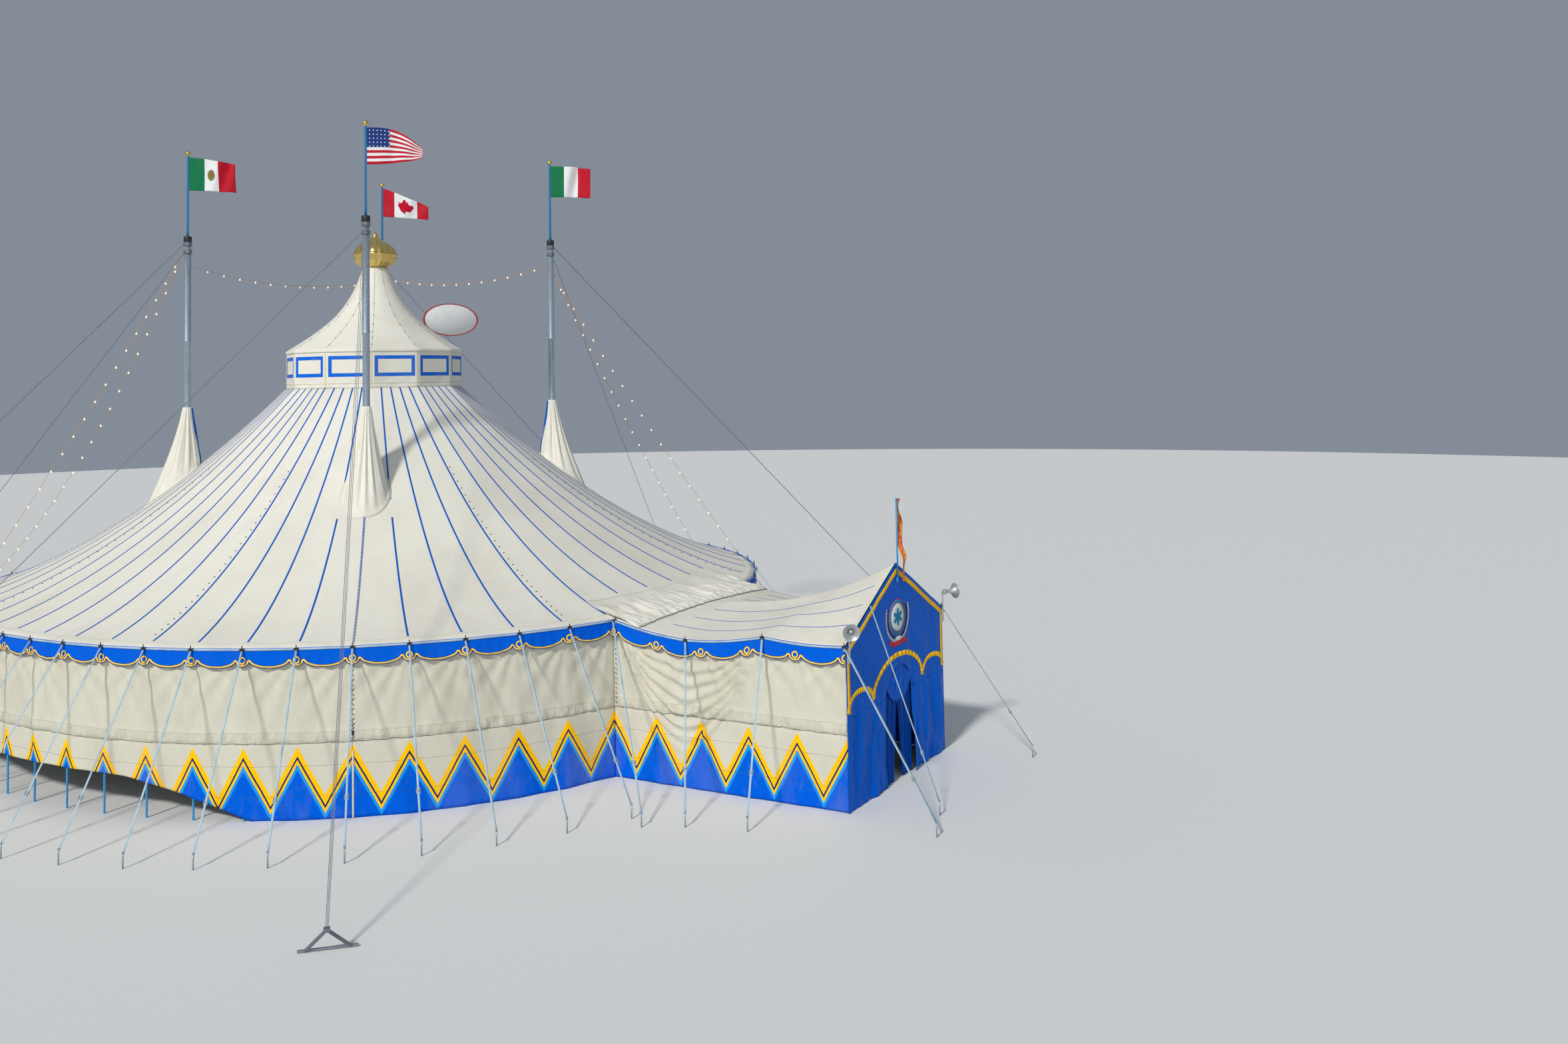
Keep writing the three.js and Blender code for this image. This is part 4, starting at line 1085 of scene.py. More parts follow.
# %% Masts
MAST_RADIUS = 0.11
MAST_TOP = 16.0
BALL_Z = 18.87
COLLAR_FOOT = MAST_TOP - 0.2
MAST_JOINTS = (4.0, 8.2, 12.4)
TUBE_PROFILE = [(0.0, 0.0), (0.22, 0.0), (0.22, 0.03), (MAST_RADIUS, 0.032)]
for joint in MAST_JOINTS:
    TUBE_PROFILE += [
        (MAST_RADIUS, joint - 0.05), (MAST_RADIUS + 0.008, joint - 0.045),
        (MAST_RADIUS + 0.008, joint + 0.045), (MAST_RADIUS, joint + 0.05),
    ]
TUBE_PROFILE += [(MAST_RADIUS, COLLAR_FOOT), (0.0, COLLAR_FOOT)]
COLLAR_PROFILE = [
    (0.0, COLLAR_FOOT), (0.125, COLLAR_FOOT), (0.131, MAST_TOP - 0.19), (0.131, MAST_TOP - 0.02),
    (0.122, MAST_TOP), (0.05, MAST_TOP + 0.012), (0.0, MAST_TOP + 0.012),
]
POLE_PROFILE = [
    (0.0, MAST_TOP), (0.042, MAST_TOP), (0.040, BALL_Z - 0.09), (0.05, BALL_Z - 0.085),
    (0.05, BALL_Z - 0.06), (0.0, BALL_Z - 0.06),
]
BALL_RADIUS = 0.095
BALL_PROFILE = [
    (BALL_RADIUS * math.sin(math.pi * i / 12), BALL_Z + 0.001 - BALL_RADIUS * math.cos(math.pi * i / 12))
    for i in range(13)
]

for name, profile, finish, place, steps in (
    ("mast_tubes", TUBE_PROFILE, steel, "galvanised_steel", 32),
    ("mast_collars", COLLAR_PROFILE, black_paint, "galvanised_steel", 32),
    ("mast_flagpoles", POLE_PROFILE, pole_paint, "galvanised_steel", 16),
    ("mast_balls", BALL_PROFILE, brass, "brass", 20),
):
    bm = blank()
    for degrees in MAST_AZIMUTHS.values():
        add_turned(bm, profile, steps, Matrix.Translation(mast_foot(math.radians(degrees))))
    finished(name, bm, finish, slot=place)
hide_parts(*["mast_" + corner for corner in MAST_AZIMUTHS])

# %% [markdown]
# Four national flags fly from the masts. Their fields are bands of the UV map, measured along
# and down the cloth from the hoist. Cloth in a light wind swings from side to side, more
# towards its free end, and its lower corner hangs back.

# %% Flag finishes
FLAG_LENGTH = 1.85
FLAG_DROP = 1.15
STAR_STEP = 0.062
STAR_SIZE = 0.00032
FLAG_RED = paint(186, 12, 38)
FLAG_GREEN = paint(0, 112, 66)
FLAG_WHITE = paint(226, 228, 228)


def inside_oval(tree, u, v, middle, size):
    across = calc(tree, "DIVIDE", minus(tree, u, middle[0]), size[0])
    down = calc(tree, "DIVIDE", minus(tree, v, middle[1]), size[1])
    return under(tree, square_sum(tree, across, down), 1.0)


def flag_cloth(name, pattern):
    material, tree, shader = new_finish(name, 0.7, gloss=0.15)
    u, v = uv_parts(tree)
    place = coordinates(tree)
    weathered(tree, shader, pattern(tree, u, v), place, paint(120, 116, 110), 0.12, 2.0, rough=(0.55, 0.75))
    bump(tree, shader, weave_height(tree, place, 140.0), 0.02)
    return material


def three_bands(first, middle, last, low=1 / 3, high=2 / 3):
    def pattern(tree, u, v):
        colour = mix(tree, over(tree, u, FLAG_LENGTH * low), first, middle)
        return mix(tree, over(tree, u, FLAG_LENGTH * high), colour, last)

    return pattern


def bands_with_emblem(tree, u, v):
    colour = three_bands(FLAG_GREEN, FLAG_WHITE, FLAG_RED)(tree, u, v)
    wreath = inside_oval(tree, u, v, (FLAG_LENGTH / 2, 0.56), (0.19, 0.21))
    heart = inside_oval(tree, u, v, (FLAG_LENGTH / 2, 0.53), (0.13, 0.14))
    colour = mix(tree, wreath, colour, paint(112, 132, 74))
    return mix(tree, heart, colour, paint(138, 98, 58))


def stripes_and_canton(tree, u, v):
    stripe = calc(tree, "FLOOR", times(tree, v, 13 / FLAG_DROP))
    odd = over(tree, calc(tree, "MODULO", stripe, 2.0), 0.5)
    colour = mix(tree, odd, FLAG_RED, FLAG_WHITE)
    canton = times(tree, under(tree, u, FLAG_LENGTH * 0.4), under(tree, v, FLAG_DROP * 7 / 13))
    across = calc(tree, "PINGPONG", plus(tree, u, 0.033), STAR_STEP)
    down = calc(tree, "PINGPONG", plus(tree, v, 0.035), STAR_STEP)
    star = under(tree, square_sum(tree, across, down), STAR_SIZE)
    return mix(tree, canton, colour, mix(tree, star, paint(20, 48, 116), FLAG_WHITE))


def wide_middle(tree, u, v):
    return three_bands(FLAG_RED, FLAG_WHITE, FLAG_RED, 0.25, 0.75)(tree, u, v)


flag_finishes = {
    "back_left": flag_cloth("flag_green_white_red_emblem", bands_with_emblem),
    "front_left": flag_cloth("flag_stripes_canton", stripes_and_canton),
    "back_right": flag_cloth("flag_red_white_red", wide_middle),
    "front_right": flag_cloth("flag_green_white_red", three_bands(FLAG_GREEN, FLAG_WHITE, FLAG_RED)),
}

# %% Flags
WIND = math.radians(31)
WIND_ALONG = Vector((math.sin(WIND), -math.cos(WIND), 0))
WIND_SIDE = Vector((math.cos(WIND), math.sin(WIND), 0))

# For each flag: how far its top edge drops at the fly, how its bottom edge moves, the bend, and
# how much of its length is left once it has folded in the wind.
FLAG_POSES = {
    "front_right": (0.12, 0.06, 1.6, 0.79),
    "back_right": (0.78, 0.16, 1.1, 0.98),
    "back_left": (0.28, 0.10, 1.4, 0.84),
    "front_left": (0.72, -0.16, 2.6, 0.94),
}


def flag_place(corner):
    top_drop, low_drop, bend, stretch = FLAG_POSES[corner]
    fold = 0.35 * (1 - stretch) / 0.2
    azimuth = math.radians(MAST_AZIMUTHS[corner])
    phase = math.degrees(azimuth) / 20
    start = mast_foot(azimuth) + WIND_ALONG * 0.045

    def place(across, down):
        sway = (0.08 + 0.2 * fold) * across * math.sin(across * 8 + down * 0.8 + phase)
        sway += (0.03 + 0.12 * fold) * across * math.sin(across * 17 + down * 3 + phase)
        drop = top_drop + (low_drop - top_drop) * down
        ripple = 0.02 * across * math.sin(across * 9 + phase)
        spot = start + WIND_ALONG * across * FLAG_LENGTH * stretch + WIND_SIDE * sway
        spot.z = BALL_Z - 0.13 - down * FLAG_DROP - drop * across**bend + ripple
        return spot

    return place


for corner in MAST_AZIMUTHS:
    flag = cloth_sheet(
        "flag_cloth_" + corner, 48, 28, flag_place(corner), flag_finishes[corner],
        uv=lambda across, down: (across * FLAG_LENGTH, down * FLAG_DROP), slot="flag_cloth",
        thickness=CLOTH,
    )
    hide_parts("flag_" + corner)

# A lobed leaf of red cloth is sewn to each side of the flag with the wide middle band.
LEAF = [
    (0, -0.36), (0.02, -0.2), (0.2, -0.22), (0.16, -0.12), (0.36, 0.06), (0.28, 0.1), (0.32, 0.2),
    (0.17, 0.17), (0.1, 0.36), (0.06, 0.26), (0, 0.42),
]
leaf_outline = LEAF + [(-x, z) for x, z in reversed(LEAF[1:-1])]
leaf_cloth = plain_cloth("red_leaf_cloth", FLAG_RED)
place_on_flag = flag_place("back_right")
bm = blank()
for lift in (-0.007, 0.007):
    rim = [bm.verts.new((x, z, lift)) for x, z in leaf_outline]
    face = bm.faces.new(rim)
    bmesh.ops.triangulate(bm, faces=[face])
bmesh.ops.subdivide_edges(bm, edges=bm.edges[:], cuts=2, use_grid_fill=True)
for vert in bm.verts:
    across = 0.5 + vert.co.x * 0.92 / FLAG_LENGTH
    down = 0.5 - vert.co.y * 1.02 / FLAG_DROP
    vert.co = place_on_flag(across, down) + WIND_SIDE * vert.co.z
leaf = finished("flag_leaf", bm, leaf_cloth, slot="flag_cloth")
print("flags", len(flag_finishes))

# %% [markdown]
# The side wall hangs inside the eave from head to foot. It is held at the pole heads, so soft
# folds fan down from them, and it puckers at a level seam where two widths are joined. Part of
# the left side is rolled up off the ground. Each quarter is one sheet bent onto the eave line.

# %% Wall shape
WALL_OFFSET = -0.0625
WALL_TOP = EAVE_Z - 0.04
ROLLED = (-124, -56)
ROLL_HEIGHT = 1.04
ROLL_RUN = 20
ROLL_REACH = 1.7


def wall_foot(degrees):
    """Height of the hem, which is rolled up along part of the left side."""
    inside = min(degrees - ROLLED[0], ROLLED[1] - degrees)
    return ROLL_HEIGHT * math.sin(math.pi / 2 * min(1.0, max(0.0, inside / ROLL_RUN)))


def gathered(z):
    """1 in the band of gathers just above the level seam, 0 away from it."""
    rise = smooth(WALL_SEAM - 0.01, WALL_SEAM + 0.06, z)
    return rise * (1 - smooth(WALL_SEAM + 0.12, WALL_SEAM + 0.42, z))


def fan(share, fall, phase):
    """Folds that radiate down and aside from the two pole heads of a bay."""
    found = 0.0
    for away, turn in ((share * GORE_WIDTH, 1), ((1 - share) * GORE_WIDTH, -1)):
        reach = math.hypot(away, fall)
        angle = math.atan2(away, fall + 0.02)
        wave = math.sin(angle * 17 + phase + turn)
        found += wave * min(1.0, reach / 0.6) * math.exp(-reach / 1.3) * smooth(0.02, 0.25, angle)
    return found


def fold_depth(u, z, top, strength=1.0):
    """How far the cloth stands in (negative) or out from its line."""
    share = u - math.floor(u)
    fall = max(0.0, top - z)
    sag = math.sin(math.pi * share) * min(1.0, fall / 2.5)
    loose = wander(u * 2.4, fall * 0.4, 7.7)
    gather = wander(u * 7.5, z * 2.2, 1.3) + 0.5 * wander(u * 15.0, z * 4.0, 5.1)
    drawn = math.exp(-(((z - WALL_SEAM) / 0.05) ** 2))
    depth = -0.02 * sag + 0.055 * strength * fan(share, fall, 3 * math.sin(math.floor(u) * 1.7))
    depth += 0.035 * loose * smooth(0.0, 0.8, fall)
    return depth + gathered(z) * (0.03 + 0.06 * gather) - 0.012 * drawn


def held_off(depth, fall, from_pole):
    """Keeps the cloth outside the pole behind it and inside the valance that hangs over it."""
    outside = max(depth, -0.011 - 0.4 * max(0.0, from_pole - 0.04))
    return min(outside, 0.055 + 0.3 * max(0.0, fall - 0.5))


def wall_level(down):
    """Share of the drop at a row; rows lie closer together across the gathers."""
    if down < 0.36:
        return down / 0.36 * 0.43
    if down < 0.66:
        return 0.43 + (down - 0.36) / 0.3 * 0.15
    return 0.58 + (down - 0.66) / 0.34 * 0.42


def wall_point(u, down):
    degrees = math.degrees(u * GORE - ANNEX_EDGE)
    degrees = degrees - 360 if degrees > 180 else degrees
    low = wall_foot(degrees)
    level = WALL_TOP - wall_level(down) * WALL_TOP
    if low > 0.01 and level < ROLL_REACH:
        level = low + (level / ROLL_REACH) * (ROLL_REACH - low)
    share = u - math.floor(u)
    depth = held_off(fold_depth(u, level, WALL_TOP), WALL_TOP - level, min(share, 1 - share) * GORE_WIDTH)
    return facet(u, lambda azimuth: eave_radius(azimuth) + WALL_OFFSET + depth, level)


# %% Walls
COLUMNS_PER_GORE = 18
WALL_ROWS = 50
CORNER_LAP = 0.046
WALLS = {
    "side_wall_front_right": (15, 45),
    "side_wall_right": (45, 135),
    "side_wall_back": (135, 225),
    "side_wall_left": (-135, -45),
    "side_wall_front_left": (-45, -15),
}
for node, (start, end) in WALLS.items():
    first = to_gore(start) - (CORNER_LAP if start == 15 else 0)
    last = to_gore(end) + (CORNER_LAP if end == -15 else 0)

    def place(across, down, first=first, last=last):
        return wall_point(first + (last - first) * across, down)

    def chart(across, down, first=first, last=last):
        u = first + (last - first) * across
        return u, wall_point(u, down).z

    wall = cloth_sheet(
        node + "_cloth", round((last - first) * COLUMNS_PER_GORE), WALL_ROWS, place, wall_finish,
        uv=chart, **CREAM_CLOTH,
    )
    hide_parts(node)
    length = (last - first) * GORE_WIDTH
    print(node, "length", round(length, 1))

# %% [markdown]
# The valance is a royal-blue pelmet below the eave. Each gore has one wide scallop, with a small
# one at each pole. Its cut edge comes from the same formula that places the gold stroke: the
# distance from the edge is stored as an attribute, so the stroke keeps its width round cusps.

# %% Valance
CUSP = 0.32
SMALL_SCALLOP = 0.125
WIDE_SCALLOP = 0.17
SMALL_HALF = 0.13
VALANCE_COLUMNS_PER_GORE = 50
VALANCE_ROWS = 8


def scallop(u):
    share = u - math.floor(u)
    from_pole = min(share, 1 - share)
    if from_pole < SMALL_HALF:
        return SMALL_SCALLOP * math.sqrt(1 - (from_pole / SMALL_HALF) ** 2)
    run = 2 * (from_pole - SMALL_HALF) / (1 - 2 * SMALL_HALF) - 1
    return WIDE_SCALLOP * max(0.0, 1 - run * run) ** 0.62


EDGE_SAMPLES = [(i / 200 - 0.75, scallop(i / 200 - 0.75)) for i in range(301)]


def edge_distance(u, above_cusp):
    """Distance in metres to the scalloped edge, from a point given above the cusp line."""
    share = u - round(u)
    nearest = min(
        ((sample - share) * GORE_WIDTH) ** 2 + (above_cusp + drop) ** 2
        for sample, drop in EDGE_SAMPLES
        if abs(sample - share) < 0.2
    )
    return math.sqrt(nearest)


EDGE_TABLE = {}


def valance_map(u, down):
    """Distance to the edge, worked out once for each place in a gore."""
    column = round((u - math.floor(u)) * VALANCE_COLUMNS_PER_GORE) % VALANCE_COLUMNS_PER_GORE
    key = (column, round(down * VALANCE_ROWS))
    if key not in EDGE_TABLE:
        EDGE_TABLE[key] = edge_distance(u, CUSP - down * (CUSP + scallop(u)))
    return EDGE_TABLE[key]


def valance_chart(u, down):
    return abs(u - round(u)) * GORE_WIDTH, down * (CUSP + scallop(u))


def valance_depth(u, down):
    share = u - math.floor(u)
    from_pole = min(share, 1 - share)
    flare = 0.03 * down * down * (1.0 + 0.5 * math.cos(math.tau * share))
    wave = 0.008 * math.sin(u * 31) * down
    return 0.012 + flare + wave - 0.006 * math.sin(math.pi * share) * (1 - down) * from_pole


print("valance edge samples", len(EDGE_SAMPLES))

# %% [markdown]
# The entrance annex leaves the round eave between two gore lines and runs straight to a gabled
# front. Its eave sags between three poles a side. Points on it are given by the share of that
# run, and by an offset from it, and the two sides are mirror images.

# %% Annex line
FACADE_Y = AXIS_Y - 19.9
FACADE_HALF = 3.1
FACADE_EAVE = 4.1
FACADE_PEAK = 5.75
DOOR_HALF = 0.85
DOOR_SPRING = 2.3
DOOR_RISE = 0.75
ANNEX_EAVES = (EAVE_Z, 3.9, 4.16, FACADE_EAVE)
annex_start = polar(ANNEX_EDGE, eave_radius(ANNEX_EDGE))
annex_run = Vector((FACADE_HALF, FACADE_Y, 0)) - annex_start
ANNEX_LENGTH = annex_run.length
annex_out = Vector((-annex_run.y, annex_run.x, 0)).normalized()


def annex_eave(share):
    bay = min(2, math.floor(share * 3))
    local = share * 3 - bay
    return ANNEX_EAVES[bay] * (1 - local) + ANNEX_EAVES[bay + 1] * local - 0.06 * math.sin(math.pi * local)


def annex_point(share, offset, z, side):
    place = annex_start + annex_run * share + annex_out * offset
    return Vector((side * place.x, place.y, z))


print("annex length", round(ANNEX_LENGTH, 2))

# %% Valance pieces
VALANCES = {
    "valance_right_front": ("valance_right", 5, 19),
    "valance_right_back": ("valance_right", 19, 32.5),
    "valance_left_back": ("valance_left", 32.5, 46),
    "valance_left_front": ("valance_left", 46, 60),
}


def hang_valance(name, node, start, periods, place, chart):
    bm = blank()
    edge = bm.verts.layers.float.new("edge")
    shares = add_sheet(bm, round(periods * VALANCE_COLUMNS_PER_GORE), VALANCE_ROWS, place, uv=chart)
    for vert, (across, down) in shares.items():
        vert[edge] = valance_map(across * periods + start, down)
    piece = finished(name, bm, valance_finish, slot="blue_canvas", thickness=THIN_CLOTH)
    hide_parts(node)


for name, (node, start, end) in VALANCES.items():

    def place(across, down, start=start, end=end):
        u = start + (end - start) * across
        low = EAVE_Z - CUSP - scallop(u)
        offset = valance_depth(u, down)
        z = EAVE_Z + 0.015 + (low - EAVE_Z - 0.015) * down
        return facet(u, lambda azimuth: eave_radius(azimuth) + offset, z)

    def chart(across, down, start=start, end=end):
        return valance_chart(start + (end - start) * across, down)

    hang_valance(name, node, start, end - start, place, chart)

for side, label in SIDES:

    def place(across, down, side=side):
        u = across * ANNEX_GORES
        top = annex_eave(across) + 0.015
        low = annex_eave(across) - CUSP - scallop(u)
        return annex_point(across, valance_depth(u, down), top + (low - top) * down, side)

    def chart(across, down):
        return valance_chart(across * ANNEX_GORES, down)

    hang_valance("valance_annex_" + label, "valance_" + label, 0, ANNEX_GORES, place, chart)
print("valance pieces", len(VALANCES) + 2)

# %% [markdown]
# The annex walls carry the same zigzag in five periods. The first two bays have no belt to
# stretch them, so their folds hang deep from the pole heads.

# %% Annex walls
SLACK_END = 2 / 3
ANNEX_LAP = 0.0092
ANNEX_WALL_END = 0.9985
HEM_GAP = 0.012


def swag_fold(across, fall):
    """Slack cloth between the corner post and the second pole hangs in nested curved folds."""
    if across > SLACK_END:
        return 0.0
    q = across / SLACK_END * 2 - 1
    deep = fall / max(0.09, 1 - q * q)
    drift = wander(across * 9, fall, 0.3)
    ridge = 1 - abs(math.sin(deep * 8.5 + 1.2 * drift))
    return ridge * smooth(0.2, 0.5, deep) * (1 - smooth(2.2, 3.2, deep)) * smooth(0, 0.12, 1 - abs(q))


for side, label in SIDES:

    def place(across, down, side=side):
        top = annex_eave(across) - 0.03
        z = top * (1 - wall_level(down)) + HEM_GAP
        u = across * ANNEX_GORES
        swag = 0.12 * swag_fold(across, top - z)
        share = across * (ANNEX_WALL_END + ANNEX_LAP) - ANNEX_LAP
        from_pole = abs(share * 3 - round(share * 3)) / 3 * ANNEX_LENGTH
        depth = held_off(fold_depth(u, z, top, 0.8) + swag, top - z, from_pole)
        return annex_point(share, WALL_OFFSET + depth, z, side)

    def chart(across, down):
        return across * ANNEX_GORES, (annex_eave(across) - 0.03) * (1 - wall_level(down))

    wall = cloth_sheet(
        "annex_wall_cloth_" + label, 120, 72, place, wall_finish, uv=chart, **CREAM_CLOTH,
    )
    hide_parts("annex_wall_" + label)

# %% [markdown]
# The annex roof is flat where it is laced under the round eave and rises to a ridge at the
# front. Near the lacing its cloth is gathered, which shows as short cross wrinkles.

# %% Annex roof
RIDGE_START = 4.3


def annex_roof_point(across, along, lift=0.0):
    v = across * 2 - 1
    inner = facet(across * ANNEX_GORES, eave_radius)
    outer = Vector((v * FACADE_HALF, FACADE_Y, 0))
    place = inner.lerp(outer, along)
    ridge = RIDGE_START + (FACADE_PEAK - RIDGE_START) * along**2.6
    rise = max(0.0, ridge - annex_eave(along)) * (1 - abs(v)) ** (1 + 0.25 * (1 - along))
    gather = 0.02 * wander(across * 40, along * 3, 0) * (1 - smooth(0.04, 0.2, along))
    hollow = -0.05 * math.sin(math.pi * along) * math.sin(math.pi * abs(v))
    place.z = annex_eave(along) + 0.018 + rise * min(1.0, along * 6) + gather + hollow * (1 - abs(v)) + lift
    return place


annex_roof = cloth_sheet(
    "annex_roof_cloth", 100, 60, lambda across, down: annex_roof_point(across, 0.002 + 0.998 * down),
    annex_roof_finish, uv=lambda across, down: (across * 6.8, (1 - down) * 6.9), **CREAM_CLOTH,
)
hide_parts("annex_roof")

bm = blank()
for v in (-0.75, -0.5, -0.25, 0.25, 0.5, 0.75):

    def place(across, down, v=v):
        return annex_roof_point((v + 1) / 2 + (across - 0.5) * 0.0034, 0.17 + 0.79 * down, 0.006)

    add_sheet(bm, 2, 40, place)
finished("annex_roof_tapes", bm, tape_finish, slot="blue_canvas", thickness=THIN_CLOTH)
print("annex roof area", area_of(annex_roof), "m2")

# %% [markdown]
# A gathered flap of the big top's roof covers the round eave and is laced down to the annex roof
# along a straight line. Short ties cross the seam every hand's breadth.

# %% Eave flap and lacing
FLAP_REACH = 0.82
FLAP_BEND = 0.55


def lacing_share(across):
    """Where the straight lacing crosses the annex roof's lines, as a share of their run."""
    inner = facet(across * ANNEX_GORES, eave_radius)
    bulge = annex_start.y - inner.y
    return (FLAP_REACH - bulge) / (inner.y - FACADE_Y)


def flap_place(across, down):
    crease = wander(across * 34, down * 2.5, 2.0) + 0.6 * wander(across * 80, down * 4, 8)
    loose = wander(across * 9, down * 5, 5.0)
    swell = 0.04 * smooth(0.05, 0.4, down) * (1 - smooth(0.88, 1.0, down))
    lift = 0.009 + swell * max(0.1, 1.2 + 1.9 * crease + 1.4 * loose)
    if down < FLAP_BEND:
        share = FLAP_START + (1 - FLAP_START) * down / FLAP_BEND
        return roof_point(across * ANNEX_GORES, share, lift)
    run = (down - FLAP_BEND) / (1 - FLAP_BEND)
    return annex_roof_point(across, lacing_share(across) * run, lift + 0.004)


flap = cloth_sheet(
    "annex_eave_flap", 150, 26, flap_place, annex_roof_finish,
    uv=lambda across, down: (across * 6.8, (1 - down) * 2.1), **CREAM_CLOTH,
)

TIES = 96
ROPE_STEPS = 48
bm = blank()
for i in range(TIES):
    across = (i + 0.5) / TIES
    slant = 0.003 if i % 2 else -0.003
    seam = lacing_share(across)
    near = annex_roof_point(across - slant, seam - 0.007, 0.022)
    far = annex_roof_point(across + slant, seam + 0.007, 0.018)
    add_tube(bm, near, far, 0.005, 5)
for i in range(ROPE_STEPS):
    start, end = (annex_roof_point(k / ROPE_STEPS, lacing_share(k / ROPE_STEPS), 0.017) for k in (i, i + 1))
    add_tube(bm, start, end, 0.004, 5)
finished("annex_lacing", bm, rope_finish, slot="strap_webbing")
print("flap laced at", round(lacing_share(0), 3), "to", round(lacing_share(0.5), 3), "of the annex run")

# %% [markdown]
# The front is one blue cloth stretched in the gable and falling in folds below, with an arched
# doorway. One function gives its surface, so the upper cloth, the two lower panels and the gold
# braid on them all share the same folds.

# %% Facade cloth
FACADE_SKIN = 0.028


def facade_point(x, z, lift=0.0):
    low = 1 - smooth(1.4, 3.1, z)
    folds = wander(x * 1.7, z * 0.38, 4.0) + 0.45 * wander(x * 4.1, z * 0.9, 9.0)
    pull = wander(x * 0.9, z * 0.5, 2.0)
    slant = wander((x + 0.5 * z) * 2.6, (z - 0.4 * x) * 0.9, 6.0)
    crumple = wander(x * 4.4, z * 3.1, 8.0) + 0.5 * wander(x * 9.0, z * 6.5, 1.0)
    depth = 0.10 * folds * low + 0.03 * pull * (1 - smooth(4.6, 5.6, z)) + 0.016 * folds * (1 - low)
    depth += (0.03 * slant + 0.022 * crumple) * (0.3 + 0.7 * low) * (1 - smooth(3.9, 5.0, z))
    edge = 1 - smooth(0.0, 0.25, FACADE_HALF - abs(x))
    return Vector((x, FACADE_Y - FACADE_SKIN - depth * (1 - edge) - lift, z))


def rake(x):
    return FACADE_EAVE + (FACADE_PEAK - FACADE_EAVE) * (1 - abs(x) / FACADE_HALF)


def doorway(x):
    return DOOR_SPRING + DOOR_RISE * math.sqrt(max(0.0, 1 - (x / DOOR_HALF) ** 2))


def gable_place(across, down):
    x = (across * 2 - 1) * FACADE_HALF
    low = doorway(x) if abs(x) < DOOR_HALF else DOOR_SPRING
    return facade_point(x, rake(x) + (low - rake(x)) * down)


gable = cloth_sheet("facade_gable_cloth", 124, 40, gable_place, facade_finish, **FACADE_CLOTH)
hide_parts("facade_gable")
for side, label in SIDES:

    def panel_place(across, down, side=side):
        x = side * (DOOR_HALF + (FACADE_HALF - DOOR_HALF) * across)
        return facade_point(x, DOOR_SPRING - (DOOR_SPRING - HEM_GAP) * down)

    panel = cloth_sheet("facade_panel_cloth_" + label, 72, 36, panel_place, facade_finish, **FACADE_CLOTH)
    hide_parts("facade_panel_" + label)
print("facade from", -FACADE_HALF, "to", FACADE_HALF)

# %% Gold braid
BRAID = 0.13
ARC_STEPS = 18


def add_braid(bm, points, steps):
    """Adds a band over the facade along (x, z) points, its ends square."""
    for (x0, z0), (x1, z1) in zip(points, points[1:]):
        run = Vector((x1 - x0, z1 - z0))
        aside = Vector((-run.y, run.x)).normalized() * BRAID

        def place(across, down):
            x = x0 + run.x * down + aside.x * (across - 0.5)
            z = z0 + run.y * down + aside.y * (across - 0.5)
            return facade_point(x, z, 0.008)

        add_sheet(bm, 2, steps, place)


def arc(middle, half, low, rise):
    turns = [math.pi * i / ARC_STEPS for i in range(ARC_STEPS + 1)]
    return [(middle - half * math.cos(turn), low + rise * math.sin(turn)) for turn in turns]


bm = blank()
for points in (arc(0, 1.57, 2.5, 0.82), arc(-2.31, 0.74, 2.45, 0.42), arc(2.31, 0.74, 2.45, 0.42)):
    add_braid(bm, points, 2)
for side in (-1, 1):
    add_braid(bm, [(side * 3.0, 2.42), (side * 3.0, 3.98)], 20)
    add_braid(bm, [(side * 3.05, 3.94), (0, 5.563)], 40)
finished("facade_gold_braid", bm, gold_braid, **FACADE_CLOTH)
print("braid strips laid")

# %% [markdown]
# Inside the arch hang two door curtains that part below the middle, and over them a short
# swag with a rounded hem. The curtains are gathered on a rail, so their folds are deep.

# %% Door curtains
RAIL_Z = 3.15
SWAG_LOW = 2.12
for side, label in SIDES:

    def place(across, down, side=side):
        gap = 0.02 + 0.215 * max(0.0, (down - 0.34) / 0.66) ** 0.6
        x = side * (gap + (DOOR_HALF + 0.09 - gap) * across)
        drift = 2.2 * wander(across * 2.2, down * 1.4, side * 3.0)
        y = FACADE_Y + 0.045 + 0.024 * math.sin(across * 21 + drift) * (0.6 + 0.4 * down)
        return Vector((x, y, RAIL_Z - 0.02 - (RAIL_Z - 0.05) * down))

    # The curtains take the darker copy of the front cloth, which paints the shade of the recessed doorway.
    curtain = cloth_sheet(
        "door_curtain_cloth_" + label, 60, 30, place, painted_shade_facade_cloth, **FACADE_CLOTH
    )
    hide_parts("door_curtain_" + label)


def swag_place(across, down):
    x = (across * 2 - 1) * (DOOR_HALF + 0.03)
    top = doorway(x * 0.96) + 0.06
    low = SWAG_LOW + 0.6 * abs(x / DOOR_HALF) ** 3 + 0.012 * math.sin(across * 60)
    z = top + (low - top) * down
    crinkle = wander(x * 5, z * 4, 3.0) + 0.5 * wander(x * 12, z * 8, 6.0)
    inside = smooth(0.0, 0.12, DOOR_HALF - abs(x)) * smooth(0.05, 0.3, down)
    return Vector((x, FACADE_Y + 0.012 - inside * (0.03 + 0.035 * crinkle), z))


swag = cloth_sheet("door_swag", 72, 24, swag_place, facade_finish, **FACADE_CLOTH)
print("door curtains and swag hung")

# %% [markdown]
# A crest is sewn over the doorway: a pale oval in a blue ring, with leaf sprays at its sides and
# a red ribbon below. It is left bare inside. Each part is a thin patch laid on the front cloth.

